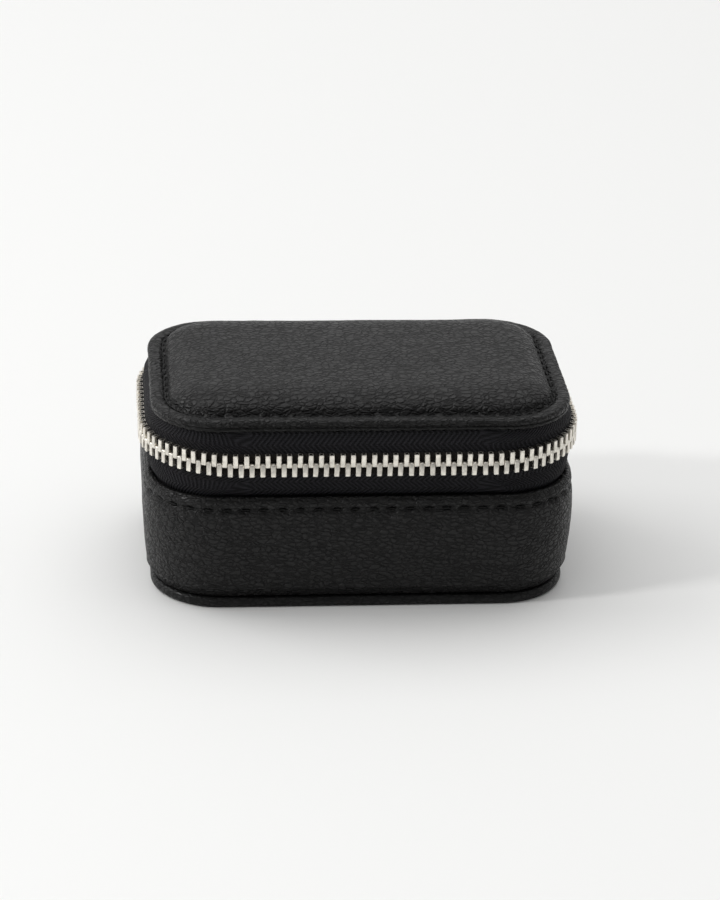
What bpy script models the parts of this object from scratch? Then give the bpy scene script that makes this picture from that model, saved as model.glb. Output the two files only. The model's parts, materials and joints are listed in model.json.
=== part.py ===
"""A small zip-round leather jewellery case: a padded lid hinged on a strip of leather along the rear.

Run it with: blender --background --python part.py

Sizes are in millimetres and are scaled to metres when a mesh is stored. +Z is up, +X is the case's
right, -Y is its front, and the origin is under the middle of the bottom. Each wall, skin and strip is
a section, given as (outward offset from the case outline, height), carried round the outline.
"""

import math

import bmesh
import bpy
from mathutils import Matrix, Vector

MM = 0.001

# The case outline, which the lid's flange and the bottom's edge share.
HALF_WIDTH = 50.0
HALF_DEPTH = 32.5
CORNER = 16.5
CORNER_STEPS = 10
GAP = 0.3  # between pieces that touch on the real case

# The bottom and the base's walls.
FLOOR_THICK = 1.2
EDGE_TOP = 2.6
EDGE_WIDTH = 3.3
BOARD_THICK = 1.8
BAND_BOTTOM = 4.6
BAND_TOP = 29.7
BAND_OUT = 1.65  # how far the padded middle of the leather band stands outside the outline
BAND_OUT_TOP = 0.8  # the same at its folded top
BAND_OUT_BOTTOM = 1.2  # and at its bottom
BAND_IN = -0.8
BAND_STITCH_DROP = 3.0
WALL_OUT = -3.2
WALL_IN = -4.8
BASE_WALL_TOP = 37.5
FOAM_OUT = -1.1
LINING_OUT = WALL_IN - GAP
LINING_IN = LINING_OUT - 0.8
INNER_FLOOR = EDGE_TOP + BOARD_THICK + GAP

# The lid.
LID_WALL_BOTTOM = 38.1
LID_WALL_TOP = 45.3
FLANGE_TOP = 48.1
FLANGE_BOTTOM = 45.8
LIP_THICK = 0.6
RIM_THICK = 0.9
LID_STITCH_IN = 3.6
CROWN_TOP = 51.1
CROWN_IN = 13.5

# The zip, a metal chain on woven tape.
ZIP_Z = 38.0
ZIP_OUT = 1.7
ZIP_SOFTER = 5.5  # how much wider the zip bends at a corner than the case does
TAPE_THICK = 0.5
TAPE_IN = -1.4
CHAIN_OUT = 2.8
CHAIN_IN = 0.6
CHAIN_HALF = 2.8
HEAD_REACH = 0.55  # how far a tooth's head passes the middle of the chain
CORD_DEPTH = 1.5
TOOTH_WIDE = 1.0
TEETH = 109
ZIP_END = 16.0  # where the chain ends on the rear, from its middle
TAIL_TEETH = 9  # lid-side teeth near the hinge, which stay with the base

# The hinge.
HINGE_Y = HALF_DEPTH + 3.0
HINGE_HALF = 14.8
HINGE_THICK = 1.0

# The slider and its pull, parked at the rear right corner.
PLATE_OUT = 3.0
PLATE_THICK = 1.1
PLATE_HALF = 4.3
PLATE_LENGTH = 11.0
BACK_OUT = -0.23
BACK_THICK = 0.55
BACK_HALF = 3.5
BACK_LENGTH = 8.0
BAIL_WIRE = 0.65
BAIL_HALF = 3.6
BAIL_RISE = 3.7
PULL_OUT = 5.1
PULL_WIRE = 0.6
PULL_REACH = 9.0
STRAP_LENGTH = 19.0
STRAP_HALF = 2.3
STRAP_THICK = 2.0

# The inside.
BED_TOP = 14.0
ROLLS = 4
ROLL_TOP = 30.0
RING_SIDE = -3.0  # the x where the ring rolls end
DIVIDER_THICK = 1.6
DIVIDER_TOP = 30.0
CROSS_Y = 2.0

FINISHES = {
    "leather": ((0.018, 0.017, 0.017), 0.42, 0.0),
    "lining": ((0.030, 0.029, 0.031), 0.95, 0.0),
    "tape": ((0.014, 0.014, 0.015), 0.85, 0.0),
    "thread": ((0.010, 0.010, 0.010), 0.60, 0.0),
    "metal": ((0.62, 0.59, 0.54), 0.28, 1.0),
    "board": ((0.42, 0.38, 0.32), 0.90, 0.0),
    "foam": ((0.20, 0.20, 0.21), 0.95, 0.0),
    "elastic": ((0.022, 0.022, 0.024), 0.80, 0.0),
}


# ---------------------------------------------------------------- scene and materials


def clear_scene():
    for old in list(bpy.data.objects):
        bpy.data.objects.remove(old, do_unlink=True)


def collection(name):
    made = bpy.data.collections.new(name)
    bpy.context.scene.collection.children.link(made)
    return made


def material(name, finish):
    colour, roughness, metallic = FINISHES[finish]
    made = bpy.data.materials.new(name)
    made.use_nodes = True
    shader = made.node_tree.nodes["Principled BSDF"]
    shader.inputs["Base Color"].default_value = (*colour, 1.0)
    shader.inputs["Roughness"].default_value = roughness
    shader.inputs["Metallic"].default_value = metallic
    return made


def joint_empty(name, x, y, z, parent=None):
    """An empty on a joint's axis, which carries the pieces that turn about it."""
    empty = bpy.data.objects.new(name, None)
    empty.empty_display_size = 5 * MM
    empty.location = (x * MM, y * MM, z * MM)
    CASE.objects.link(empty)
    if parent:
        attach(empty, parent)
    return empty


def attach(obj, parent):
    bpy.context.view_layer.update()
    obj.parent = parent
    obj.matrix_parent_inverse = parent.matrix_world.inverted()


def store(bm, name, finish, parent=None, smooth=40):
    """Turns a bmesh in millimetres into an object in metres."""
    bmesh.ops.scale(bm, vec=(MM, MM, MM), verts=bm.verts)
    mesh = bpy.data.meshes.new(name)
    bm.to_mesh(mesh)
    bm.free()
    mesh.materials.append(material(name, finish))
    mesh.shade_smooth()
    mesh.set_sharp_from_angle(angle=math.radians(smooth))
    obj = bpy.data.objects.new(name, mesh)
    CASE.objects.link(obj)
    if parent:
        attach(obj, parent)
    return obj


def as_cutter(obj):
    CASE.objects.unlink(obj)
    CUTTERS.objects.link(obj)
    obj.hide_render = True
    obj.display_type = "WIRE"
    return obj


def boolean(obj, other, operation):
    modifier = obj.modifiers.new(operation.lower(), "BOOLEAN")
    modifier.object = as_cutter(other)
    modifier.operation = operation
    modifier.solver = "EXACT"
    return obj


def bevel(obj, width, segments=1, angle=40):
    modifier = obj.modifiers.new("edges", "BEVEL")
    modifier.width = width * MM
    modifier.segments = segments
    modifier.limit_method = "ANGLE"
    modifier.angle_limit = math.radians(angle)
    return obj


# ---------------------------------------------------------------- the outline and its sweeps

SIDE_X = HALF_WIDTH - CORNER
SIDE_Y = HALF_DEPTH - CORNER
ZIP_X = SIDE_X - ZIP_SOFTER
ZIP_Y = SIDE_Y - ZIP_SOFTER


def legs(softer):
    """The outline's straights and quarter turns, clockwise from the middle of the rear.

    Each is its kind, the corner centre that it starts from, its length along the zip's line and the
    direction that is out there, in degrees. A softer outline has wider corners about nearer centres.
    """
    x, y = SIDE_X - softer, SIDE_Y - softer
    turn = (CORNER + softer + ZIP_OUT) * math.pi / 2
    return (
        ("line", Vector((0, y)), x, 90),
        ("turn", Vector((x, y)), turn, 90),
        ("line", Vector((x, y)), 2 * y, 0),
        ("turn", Vector((x, -y)), turn, 0),
        ("line", Vector((x, -y)), 2 * x, -90),
        ("turn", Vector((-x, -y)), turn, -90),
        ("line", Vector((-x, -y)), 2 * y, -180),
        ("turn", Vector((-x, y)), turn, -180),
        ("line", Vector((-x, y)), x, -270),
    )


def length_of(softer):
    return sum(leg[2] for leg in legs(softer))


ZIP_ROUND = length_of(ZIP_SOFTER)
PITCH = (ZIP_ROUND - 2 * ZIP_END) / TEETH


def station(along, softer):
    """The corner centre, the way out and the way ahead at a distance along the zip's line."""
    for kind, point, length, out in legs(softer):
        if along <= length:
            turned = math.radians(out) - (along / length * math.pi / 2 if kind == "turn" else 0)
            outward = Vector((math.cos(turned), math.sin(turned)))
            ahead = Vector((outward.y, -outward.x))
            centre = point + (ahead * along if kind == "line" else Vector((0, 0)))
            return centre, outward, ahead
        along -= length
    raise ValueError("past the end of the outline")


def sweep(section, softer=0.0, stretch=None, closed_section=True, fill=False):
    """Carries a section of (offset, height) points round the outline, or along a stretch of it."""
    bm = bmesh.new()
    start, end = stretch or (0.0, length_of(softer))
    radius = CORNER + softer
    centre, outward, _ = station(start, softer)
    first_ring = [
        bm.verts.new((*(centre + outward * (radius + offset)), height)) for offset, height in section
    ]
    pairs = list(zip(first_ring, first_ring[1:]))
    if closed_section:
        pairs.append((first_ring[-1], first_ring[0]))
    edges = [bm.edges.new(pair) for pair in pairs]
    passed = 0.0
    for kind, point, length, out in legs(softer):
        first, last = max(start, passed), min(end, passed + length)
        passed += length
        if last - first < 1e-6:
            continue
        if kind == "line":
            ahead = Vector((math.sin(math.radians(out)), -math.cos(math.radians(out)), 0))
            made = bmesh.ops.extrude_edge_only(bm, edges=edges)["geom"]
            moved = {v for v in made if isinstance(v, bmesh.types.BMVert)}
            bmesh.ops.translate(bm, vec=ahead * (last - first), verts=list(moved))
            edges = [e for e in made if isinstance(e, bmesh.types.BMEdge) and moved.issuperset(e.verts)]
        else:
            share = (last - first) / length
            verts = list({v for e in edges for v in e.verts})
            turned = bmesh.ops.spin(
                bm, geom=verts + edges, cent=(*point, 0), axis=(0, 0, -1), angle=share * math.pi / 2,
                steps=max(2, round(CORNER_STEPS * share)), use_merge=False, use_duplicate=False,
            )["geom_last"]
            edges = [e for e in turned if isinstance(e, bmesh.types.BMEdge)]
    if stretch is None:
        bmesh.ops.remove_doubles(bm, verts=bm.verts, dist=0.002)
    if fill or stretch:
        bmesh.ops.holes_fill(bm, edges=[e for e in bm.edges if e.is_boundary], sides=0)
    bmesh.ops.recalc_face_normals(bm, faces=bm.faces)
    return bm


def tighten(bm, share_at):
    """Brings the corners of a piece on the zip's path back to the case's, by a share at each height."""
    for vert in bm.verts:
        over = Vector((abs(vert.co.x) - ZIP_X, abs(vert.co.y) - ZIP_Y))
        if min(over) < -0.001 or max(over) < 0.001:
            continue
        out = over.normalized()
        slide = ZIP_SOFTER * share_at(vert.co.z)
        vert.co.x += math.copysign(slide * (1 - out.x), vert.co.x)
        vert.co.y += math.copysign(slide * (1 - out.y), vert.co.y)
    return bm


def ring(outer, inner, bottom, top):
    """An upright wall between two offsets."""
    return sweep([(outer, bottom), (outer, top), (inner, top), (inner, bottom)])


def slab(offset, bottom, top):
    """A plate with the case's outline, moved out by the offset."""
    return sweep([(offset, bottom), (offset, top)], closed_section=False, fill=True)


def strip(line, thick):
    """The section of a strip of even thickness whose middle follows a line of (offset, height) points."""
    sides = [], []
    for i, point in enumerate(line):
        before = Vector(line[max(i - 1, 0)])
        after = Vector(line[min(i + 1, len(line) - 1)])
        along = (after - before).normalized()
        across = Vector((along.y, -along.x)) * thick / 2
        sides[0].append(tuple(Vector(point) + across))
        sides[1].append(tuple(Vector(point) - across))
    return sides[0] + sides[1][::-1]


def box(low, high):
    bm = bmesh.new()
    size = [h - l for l, h in zip(low, high)]
    middle = [(h + l) / 2 for l, h in zip(low, high)]
    bmesh.ops.create_cube(bm, size=1.0, matrix=Matrix.Translation(middle) @ Matrix.Diagonal((*size, 1)))
    return bm


def prism_x(section, half):
    """A section of (y, height) points carried along x from -half to +half."""
    bm = bmesh.new()
    face = bm.faces.new([bm.verts.new((-half, y, z)) for y, z in section])
    made = bmesh.ops.extrude_face_region(bm, geom=[face])["geom"]
    moved = [v for v in made if isinstance(v, bmesh.types.BMVert)]
    bmesh.ops.translate(bm, vec=(2 * half, 0, 0), verts=moved)
    bmesh.ops.recalc_face_normals(bm, faces=bm.faces)
    return bm


def prism_z(outline, bottom, top):
    """An outline of (x, y) points carried up from bottom to top."""
    bm = bmesh.new()
    face = bm.faces.new([bm.verts.new((x, y, bottom)) for x, y in outline])
    made = bmesh.ops.extrude_face_region(bm, geom=[face])["geom"]
    moved = [v for v in made if isinstance(v, bmesh.types.BMVert)]
    bmesh.ops.translate(bm, vec=(0, 0, top - bottom), verts=moved)
    bmesh.ops.recalc_face_normals(bm, faces=bm.faces)
    return bm


def wire(name, points, radius, finish, cyclic, parent):
    """A round wire through its points, given in millimetres in the world."""
    curve = bpy.data.curves.new(name, "CURVE")
    curve.dimensions = "3D"
    curve.bevel_depth = radius * MM
    curve.bevel_resolution = 2
    curve.use_fill_caps = True
    spline = curve.splines.new("POLY")
    spline.points.add(len(points) - 1)
    for target, point in zip(spline.points, points):
        target.co = (*(Vector(point) * MM), 1.0)
    spline.use_cyclic_u = cyclic
    curve.materials.append(material(name, finish))
    obj = bpy.data.objects.new(name, curve)
    CASE.objects.link(obj)
    attach(obj, parent)
    return obj


# ---------------------------------------------------------------- the base


def bottom():
    """The leather underside with its turned edge, and the board inside it."""
    inner = -EDGE_WIDTH
    section = [(-CROWN_IN, 0), (-0.5, 0), (0, 0.5), (0, EDGE_TOP - 0.5), (-0.5, EDGE_TOP),
               (inner, EDGE_TOP), (inner, FLOOR_THICK), (-CROWN_IN, FLOOR_THICK)]
    store(sweep(section, closed_section=False, fill=True), "bottom_leather", "leather")
    board = slab(inner - GAP, FLOOR_THICK + GAP, FLOOR_THICK + GAP + BOARD_THICK)
    store(board, "base_board", "board")


def base_walls():
    """The stiff wall, its foam, the leather band round it and the band's line of stitching."""
    wall_bottom = FLOOR_THICK + BOARD_THICK + 2 * GAP
    store(ring(WALL_OUT, WALL_IN, wall_bottom, BASE_WALL_TOP), "base_wall_board", "board")
    store(ring(FOAM_OUT, WALL_OUT + GAP, BAND_BOTTOM + GAP + 0.9, BAND_TOP - 5.2), "base_wall_foam", "foam")

    stitch = BAND_TOP - BAND_STITCH_DROP
    groove = BAND_OUT_TOP + 0.1
    lip = EDGE_TOP + GAP
    section = [
        (-2.4, lip), (-0.6, lip), (0.5, BAND_BOTTOM - 0.4), (BAND_OUT_BOTTOM, 6.2), (BAND_OUT - 0.1, 10.5),
        (BAND_OUT, 15.5), (BAND_OUT - 0.1, 20.5), (groove + 0.5, stitch - 0.8), (groove, stitch - 0.5),
        (groove, stitch + 0.5), (groove + 0.2, stitch + 0.8), (BAND_OUT_TOP + 0.1, BAND_TOP - 0.7),
        (BAND_OUT_TOP - 0.4, BAND_TOP), (BAND_IN + 0.2, BAND_TOP), (BAND_IN, BAND_TOP - 0.2), (BAND_IN, 5.9),
        (-1.3, BAND_BOTTOM), (-2.4, BAND_BOTTOM),
    ]
    store(sweep(section), "base_band_leather", "leather")
    thread = ring(groove + 0.55, groove + 0.2, stitch - 0.2, stitch + 0.2)
    store(thread, "band_stitching", "thread")


def inside():
    """The linings, the bed of ring rolls and the two dividers."""
    floor = slab(LINING_IN - GAP, INNER_FLOOR - 0.9, INNER_FLOOR - 0.1)
    store(floor, "base_floor_lining", "lining")
    wall_bottom = FLOOR_THICK + BOARD_THICK + 2 * GAP
    store(ring(LINING_OUT, LINING_IN, wall_bottom, BASE_WALL_TOP - 0.3), "base_wall_lining", "lining")

    room = LINING_IN - GAP
    left, back = -(HALF_WIDTH + room), HALF_DEPTH + room
    floor_top = INNER_FLOOR + 0.2
    bed = store(box((left, -back, floor_top), (RING_SIDE - GAP, back, BED_TOP)), "ring_bed", "foam")
    boolean(bed, store(slab(room, floor_top - 1, BED_TOP + 1), "bed_room", "foam"), "INTERSECT")

    pitch = (RING_SIDE - left) / ROLLS
    for number in range(ROLLS):
        low = left + number * pitch + GAP / 2
        high = low + pitch - GAP
        name = f"ring_roll_{number + 1}"
        roll = box((low, -back, BED_TOP + GAP), (high, back, ROLL_TOP))
        tops = [e for e in roll.edges if all(v.co.z > ROLL_TOP - 1 for v in e.verts) and
                abs(e.verts[0].co.x - e.verts[1].co.x) < 0.1]
        bmesh.ops.bevel(roll, geom=tops, offset=(high - low) * 0.46, segments=6, profile=0.5,
                        affect="EDGES", material=-1)
        cushion = store(roll, name, "lining")
        boolean(cushion, store(slab(room, BED_TOP - 1, ROLL_TOP + 1), f"{name}_room", "lining"), "INTERSECT")

    divider_x = RING_SIDE + GAP
    long_divider = box((divider_x, -back, floor_top), (divider_x + DIVIDER_THICK, back, DIVIDER_TOP))
    bevel(store(long_divider, "divider_long", "lining"), 0.5, 2)
    cross = box((divider_x + DIVIDER_THICK + GAP, CROSS_Y, floor_top),
                (HALF_WIDTH + room, CROSS_Y + DIVIDER_THICK, DIVIDER_TOP))
    bevel(store(cross, "divider_cross", "lining"), 0.5, 2)


# ---------------------------------------------------------------- the zip


def tape_line(side):
    """The middle of the tape's section on the base's side (-1) or the lid's (+1)."""
    start = ZIP_Z + side * (CHAIN_HALF + 0.2)
    if side < 0:
        return [(ZIP_OUT, start), (1.0, start - 2.0), (-0.3, BAND_TOP + 1.5), (TAPE_IN, BAND_TOP - 0.2),
                (TAPE_IN, BAND_TOP - 4.8)]
    return [(ZIP_OUT, start), (1.0, start + 1.8), (-0.2, FLANGE_BOTTOM - 1.4), (TAPE_IN, FLANGE_BOTTOM - 0.3)]


def corner_share(height):
    """How much of the case's own corner the tape has at a height: none by the teeth, all at its edges."""
    past = (abs(height - ZIP_Z) - CHAIN_HALF) / (ZIP_Z - CHAIN_HALF - BAND_TOP - 0.5)
    past = min(max(past, 0.0), 1.0)
    return past * past * (3 - 2 * past)


def teeth(side, numbers):
    """The teeth of one side of the chain, as boxes that sink into its cord."""
    reach = CHAIN_HALF - 0.3 + HEAD_REACH
    bm = bmesh.new()
    for number in numbers:
        along = ZIP_END + (number + (0.25 if side < 0 else 0.75)) * PITCH
        centre, outward, ahead = station(along, ZIP_SOFTER)
        middle = centre + outward * (CORNER + ZIP_SOFTER + (CHAIN_OUT + CHAIN_IN) / 2)
        height = ZIP_Z + side * (reach / 2 - HEAD_REACH)
        turn = Matrix(((ahead.x, outward.x, 0, middle.x), (ahead.y, outward.y, 0, middle.y),
                       (0, 0, 1, height), (0, 0, 0, 1)))
        size = Matrix.Diagonal((TOOTH_WIDE, CHAIN_OUT - CHAIN_IN - 0.2, reach, 1))
        bmesh.ops.create_cube(bm, size=1.0, matrix=turn @ size)
    bmesh.ops.recalc_face_normals(bm, faces=bm.faces)
    return bm


def chain(name, side, stretch, numbers, parent=None):
    """One side's cord with its teeth, over a stretch of the zip."""
    low, high = sorted((ZIP_Z + side * (CHAIN_HALF - CORD_DEPTH), ZIP_Z + side * CHAIN_HALF))
    section = [(CHAIN_OUT, low), (CHAIN_OUT, high), (CHAIN_IN, high), (CHAIN_IN, low)]
    cord = store(sweep(section, ZIP_SOFTER, stretch), name, "metal", parent, smooth=20)
    return boolean(cord, store(teeth(side, numbers), f"{name}_teeth", "metal"), "UNION")


def tape(name, side, stretch, parent=None):
    """A stretch of one side's tape, from the teeth to where it is sewn in."""
    woven = sweep(strip(tape_line(side), TAPE_THICK), ZIP_SOFTER, stretch)
    return store(tighten(woven, corner_share), name, "tape", parent)


def zip_fastener(lid):
    """Both sides of the zip; the lid's side is cut near the hinge, where its ends stay with the base."""
    start, end = ZIP_END, ZIP_ROUND - ZIP_END
    tape("base_zip_tape", -1, (start, end))
    chain("base_zip_chain", -1, (start, end), range(TEETH))

    tail, cut = TAIL_TEETH * PITCH, 0.45 * PITCH
    middle = (start + tail + cut, end - tail)
    tape("lid_zip_tape", 1, middle, lid)
    chain("lid_zip_chain", 1, middle, range(TAIL_TEETH, TEETH - TAIL_TEETH), lid)
    for side, stretch, numbers in (
        ("right", (start, start + tail), range(TAIL_TEETH)),
        ("left", (end - tail + cut, end), range(TEETH - TAIL_TEETH, TEETH)),
    ):
        tape(f"tape_tail_{side}", 1, stretch)
        chain(f"chain_tail_{side}", 1, stretch, numbers)


def hinge():
    """The strip of leather across the middle of the rear, which bends as the lid opens."""
    rear = HALF_DEPTH
    line = [
        (rear - 1.6, BAND_TOP - 4.8), (rear - 1.6, BAND_TOP - 0.2), (rear - 0.3, BAND_TOP + 1.5),
        (rear + 1.3, ZIP_Z - 3.5),
        (rear + 1.8, ZIP_Z), (rear + 1.3, ZIP_Z + 3.5), (rear - 0.4, FLANGE_BOTTOM - 1.6),
        (rear - 1.6, FLANGE_BOTTOM - 0.8),
    ]
    store(prism_x(strip(line, HINGE_THICK), HINGE_HALF), "hinge_leather", "leather")


# ---------------------------------------------------------------- the lid


def lid_top(lid):
    """The padded leather top, its foam and board, the thin lip under its rolled edge, and the stitching."""
    stitch = -LID_STITCH_IN
    under = FLANGE_TOP - 0.65
    section = [
        (-CROWN_IN, CROWN_TOP - 1.2), (-9.0, under + 1.65), (-6.2, under + 0.65), (-4.8, under),
        (-RIM_THICK, under),
        (-RIM_THICK, FLANGE_BOTTOM + 0.9), (-0.25, FLANGE_BOTTOM + 0.9), (0, FLANGE_BOTTOM + 1.2),
        (0, FLANGE_TOP - 0.5), (-0.45, FLANGE_TOP), (stitch + 0.5, FLANGE_TOP),
        (stitch + 0.45, FLANGE_TOP - 0.35),
        (stitch - 0.45, FLANGE_TOP - 0.35), (stitch - 0.6, FLANGE_TOP + 0.15), (-5.6, FLANGE_TOP + 1.0),
        (-8.2, FLANGE_TOP + 2.1),
        (-CROWN_IN, CROWN_TOP),
    ]
    store(sweep(section, closed_section=False, fill=True), "lid_top_leather", "leather", lid)

    foam = [(-CROWN_IN, under - 0.05), (-6.9, under - 0.05), (-6.9, under + 0.2), (-9.2, under + 1.15),
            (-CROWN_IN, CROWN_TOP - 1.55)]
    store(sweep(foam, closed_section=False, fill=True), "lid_foam", "foam", lid)
    store(slab(-RIM_THICK - GAP, LID_WALL_TOP + 0.4, under - 0.35), "lid_board", "board", lid)
    lip = ring(0.0, -RIM_THICK, FLANGE_BOTTOM, FLANGE_BOTTOM + LIP_THICK)
    store(lip, "lid_edge_facing", "leather", lid)
    thread = ring(stitch + 0.2, stitch - 0.2, FLANGE_TOP - 0.2, FLANGE_TOP + 0.1)
    store(thread, "lid_stitching", "thread", lid)


def lid_inside(lid):
    """The lid's wall and lining, the padded panel under its top and the gathered pocket on it."""
    store(ring(WALL_OUT, WALL_IN, LID_WALL_BOTTOM, LID_WALL_TOP), "lid_wall_board", "board", lid)
    store(ring(LINING_OUT, LINING_IN, LID_WALL_BOTTOM, LID_WALL_TOP), "lid_wall_lining", "lining", lid)
    pad_bottom = LID_WALL_TOP - 1.4
    store(slab(LINING_IN - GAP, pad_bottom, LID_WALL_TOP), "lid_lining_pad", "lining", lid)
    pocket_top = pad_bottom - GAP
    pocket = box((-34, -14, pocket_top - 0.9), (34, 22, pocket_top))
    bevel(store(pocket, "lid_pocket", "lining", lid), 0.3, 1)
    elastic = [(x, -15.3, pocket_top - 0.8) for x in (-34, -17, 0, 17, 34)]
    wire("pocket_elastic", elastic, 0.8, "elastic", False, lid)


# ---------------------------------------------------------------- the slider and its pull


def slider(carrier):
    """The slider: a front plate with turned sides, the bail over it and the plate behind the chain."""
    face, rear = HALF_DEPTH + PLATE_OUT, HALF_DEPTH + PLATE_OUT + PLATE_THICK
    lip = HALF_DEPTH + PLATE_OUT - 0.75
    inner = PLATE_HALF - 1.0
    section = [
        (rear, -PLATE_HALF), (rear, PLATE_HALF), (lip, PLATE_HALF), (lip, inner),
        (face, inner), (face, -inner), (lip, -inner), (lip, -PLATE_HALF),
    ]
    plate = prism_x(section, PLATE_LENGTH / 2)
    bmesh.ops.translate(plate, vec=(ZIP_X, 0, ZIP_Z), verts=plate.verts)
    bevel(store(plate, "slider_body", "metal", carrier), 0.3, 2)

    back = box((ZIP_X - BACK_LENGTH / 2, HALF_DEPTH + BACK_OUT - BACK_THICK, ZIP_Z - BACK_HALF),
               (ZIP_X + BACK_LENGTH / 2, HALF_DEPTH + BACK_OUT, ZIP_Z + BACK_HALF))
    bevel(store(back, "slider_back_plate", "metal", carrier), 0.25, 2)

    arch = []
    steps = 12
    for step in range(steps + 1):
        turn = math.pi * step / steps
        rise = BAIL_RISE - BAIL_WIRE
        arch.append((ZIP_X - BAIL_HALF * math.cos(turn), rear + 0.1 + rise * math.sin(turn) ** 0.5, ZIP_Z))
    wire("slider_bail", arch, BAIL_WIRE, "metal", False, carrier)


def pull(carrier):
    """The wire ring under the bail and the folded leather strap on it, pointing to the case's left."""
    y = HALF_DEPTH + PULL_OUT
    near, far = 1.7, STRAP_HALF + 0.9
    corner = 0.6
    loop = [
        (ZIP_X, y, ZIP_Z + near - corner), (ZIP_X - corner, y, ZIP_Z + near),
        (ZIP_X - PULL_REACH + corner, y, ZIP_Z + far), (ZIP_X - PULL_REACH, y, ZIP_Z + far - corner),
        (ZIP_X - PULL_REACH, y, ZIP_Z - far + corner), (ZIP_X - PULL_REACH + corner, y, ZIP_Z - far),
        (ZIP_X - corner, y, ZIP_Z - near), (ZIP_X, y, ZIP_Z - near + corner),
    ]
    wire("pull_ring", loop, PULL_WIRE, "metal", True, carrier)

    bar, tail = ZIP_X - PULL_REACH, ZIP_X - PULL_REACH - STRAP_LENGTH
    flat, fold = STRAP_THICK / 2, STRAP_THICK / 2 + 0.6
    outline = [(tail, y - flat), (bar - 3.0, y - flat)]
    for step in range(9):
        turn = math.radians(-120 + 30 * step)
        outline.append((bar + fold * math.cos(turn), y + fold * math.sin(turn)))
    outline += [(bar - 3.0, y + flat), (tail, y + flat)]
    strap = store(prism_z(outline, ZIP_Z - STRAP_HALF, ZIP_Z + STRAP_HALF), "pull_strap", "leather", carrier)
    eye = bmesh.new()
    bmesh.ops.create_cone(eye, cap_ends=True, segments=16, radius1=PULL_WIRE + 0.25, radius2=PULL_WIRE + 0.25,
                          depth=4 * STRAP_HALF, matrix=Matrix.Translation((bar, y, ZIP_Z)))
    boolean(strap, store(eye, "strap_eye", "leather"), "DIFFERENCE")


clear_scene()
CASE = collection("jewellery_case")
CUTTERS = collection("cutters")

lid_axis = joint_empty("lid_hinge_axis", 0, HINGE_Y, ZIP_Z)
slider_axis = joint_empty("slider_run_axis", ZIP_X, ZIP_Y, ZIP_Z)
pull_axis = joint_empty("pull_swing_axis", ZIP_X, HALF_DEPTH + PULL_OUT, ZIP_Z, slider_axis)

bottom()
base_walls()
inside()
zip_fastener(lid_axis)
hinge()
lid_top(lid_axis)
lid_inside(lid_axis)
slider(slider_axis)
pull(pull_axis)
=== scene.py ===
# %% [markdown]
# # A zip-round leather jewellery case
#
# The CAD model gives every piece its place and its size. This file gives each one its real surface:
# pebbled black leather over foam, a rolled edge, sewn stitches, woven zip tape and cast metal teeth.
# The first step loads the CAD model and keeps its pieces, because the sizes are read from their boxes.

# %% Load the model that everything is built round
import json
import math
import random

import bmesh
import bpy
from mathutils import Matrix, Vector, noise


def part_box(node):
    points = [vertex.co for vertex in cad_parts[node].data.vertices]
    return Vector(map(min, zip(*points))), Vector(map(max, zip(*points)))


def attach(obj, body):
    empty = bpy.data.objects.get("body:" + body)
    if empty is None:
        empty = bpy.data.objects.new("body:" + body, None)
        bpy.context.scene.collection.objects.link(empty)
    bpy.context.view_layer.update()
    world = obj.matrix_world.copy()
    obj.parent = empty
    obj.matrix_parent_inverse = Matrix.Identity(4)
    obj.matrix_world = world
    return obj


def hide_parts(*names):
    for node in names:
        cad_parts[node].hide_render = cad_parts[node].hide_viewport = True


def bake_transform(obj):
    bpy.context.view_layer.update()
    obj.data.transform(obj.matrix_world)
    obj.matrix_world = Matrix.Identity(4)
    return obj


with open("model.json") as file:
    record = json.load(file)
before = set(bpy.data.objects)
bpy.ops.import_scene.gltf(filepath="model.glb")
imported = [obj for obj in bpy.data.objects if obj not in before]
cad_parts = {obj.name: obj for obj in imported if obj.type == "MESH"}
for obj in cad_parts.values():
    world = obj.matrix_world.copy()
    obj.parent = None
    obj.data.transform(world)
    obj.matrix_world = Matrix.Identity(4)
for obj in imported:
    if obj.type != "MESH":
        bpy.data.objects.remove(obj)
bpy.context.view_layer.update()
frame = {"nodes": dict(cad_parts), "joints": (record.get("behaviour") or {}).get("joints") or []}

# %% [markdown]
# ## Sizes
#
# The real case is cut from one outline, a rectangle with round corners. The lid's edge and the bottom
# follow it, and every other layer is that outline moved outwards or inwards by an offset. So the sizes
# are an outline and a few heights, and nearly all of them are read from the CAD pieces. The zip bends
# more gently at the corners than the case does, because a row of metal teeth is stiff.

# %% Read the outline and the heights from the frame
MM = 0.001

lid_low, lid_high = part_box("lid_top_leather")
lip_low, lip_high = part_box("lid_edge_facing")
band_low, band_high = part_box("base_band_leather")
edge_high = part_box("bottom_leather")[1]
joints = {joint["name"]: joint for joint in frame["joints"]}

HALF_WIDTH, HALF_DEPTH = lid_high.x, lid_high.y
CORNER = 16.5 * MM
ZIP_SOFTER = 5.5 * MM
CROWN_RISE = 3.0 * MM
SWELL = 4.1 * MM
FLANGE_TOP = lid_high.z - CROWN_RISE
ROLL_BOTTOM = lid_low.z - 0.35 * MM
ZIP_Z = joints["lid_hinge"]["pos_m"][2]
BAND_TOP, BAND_BOTTOM = band_high.z - 0.6 * MM, band_low.z
SIDE_X, SIDE_Y = HALF_WIDTH - CORNER, HALF_DEPTH - CORNER
print("outline", HALF_WIDTH, HALF_DEPTH, "zip at", ZIP_Z)

# %% [markdown]
# ## Carrying a section round the outline
#
# A leatherworker bends one long strip round the case. In Blender the same thing is a section that is
# extruded along the straight sides and spun about the corner centres. `bmesh.ops.spin` turns a section
# about a point, and `extrude_edge_only` with a translate carries it along, so both are used in turn.
# The steps are short, because the leather is then pressed in at each stitch and ruffled a little.

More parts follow.
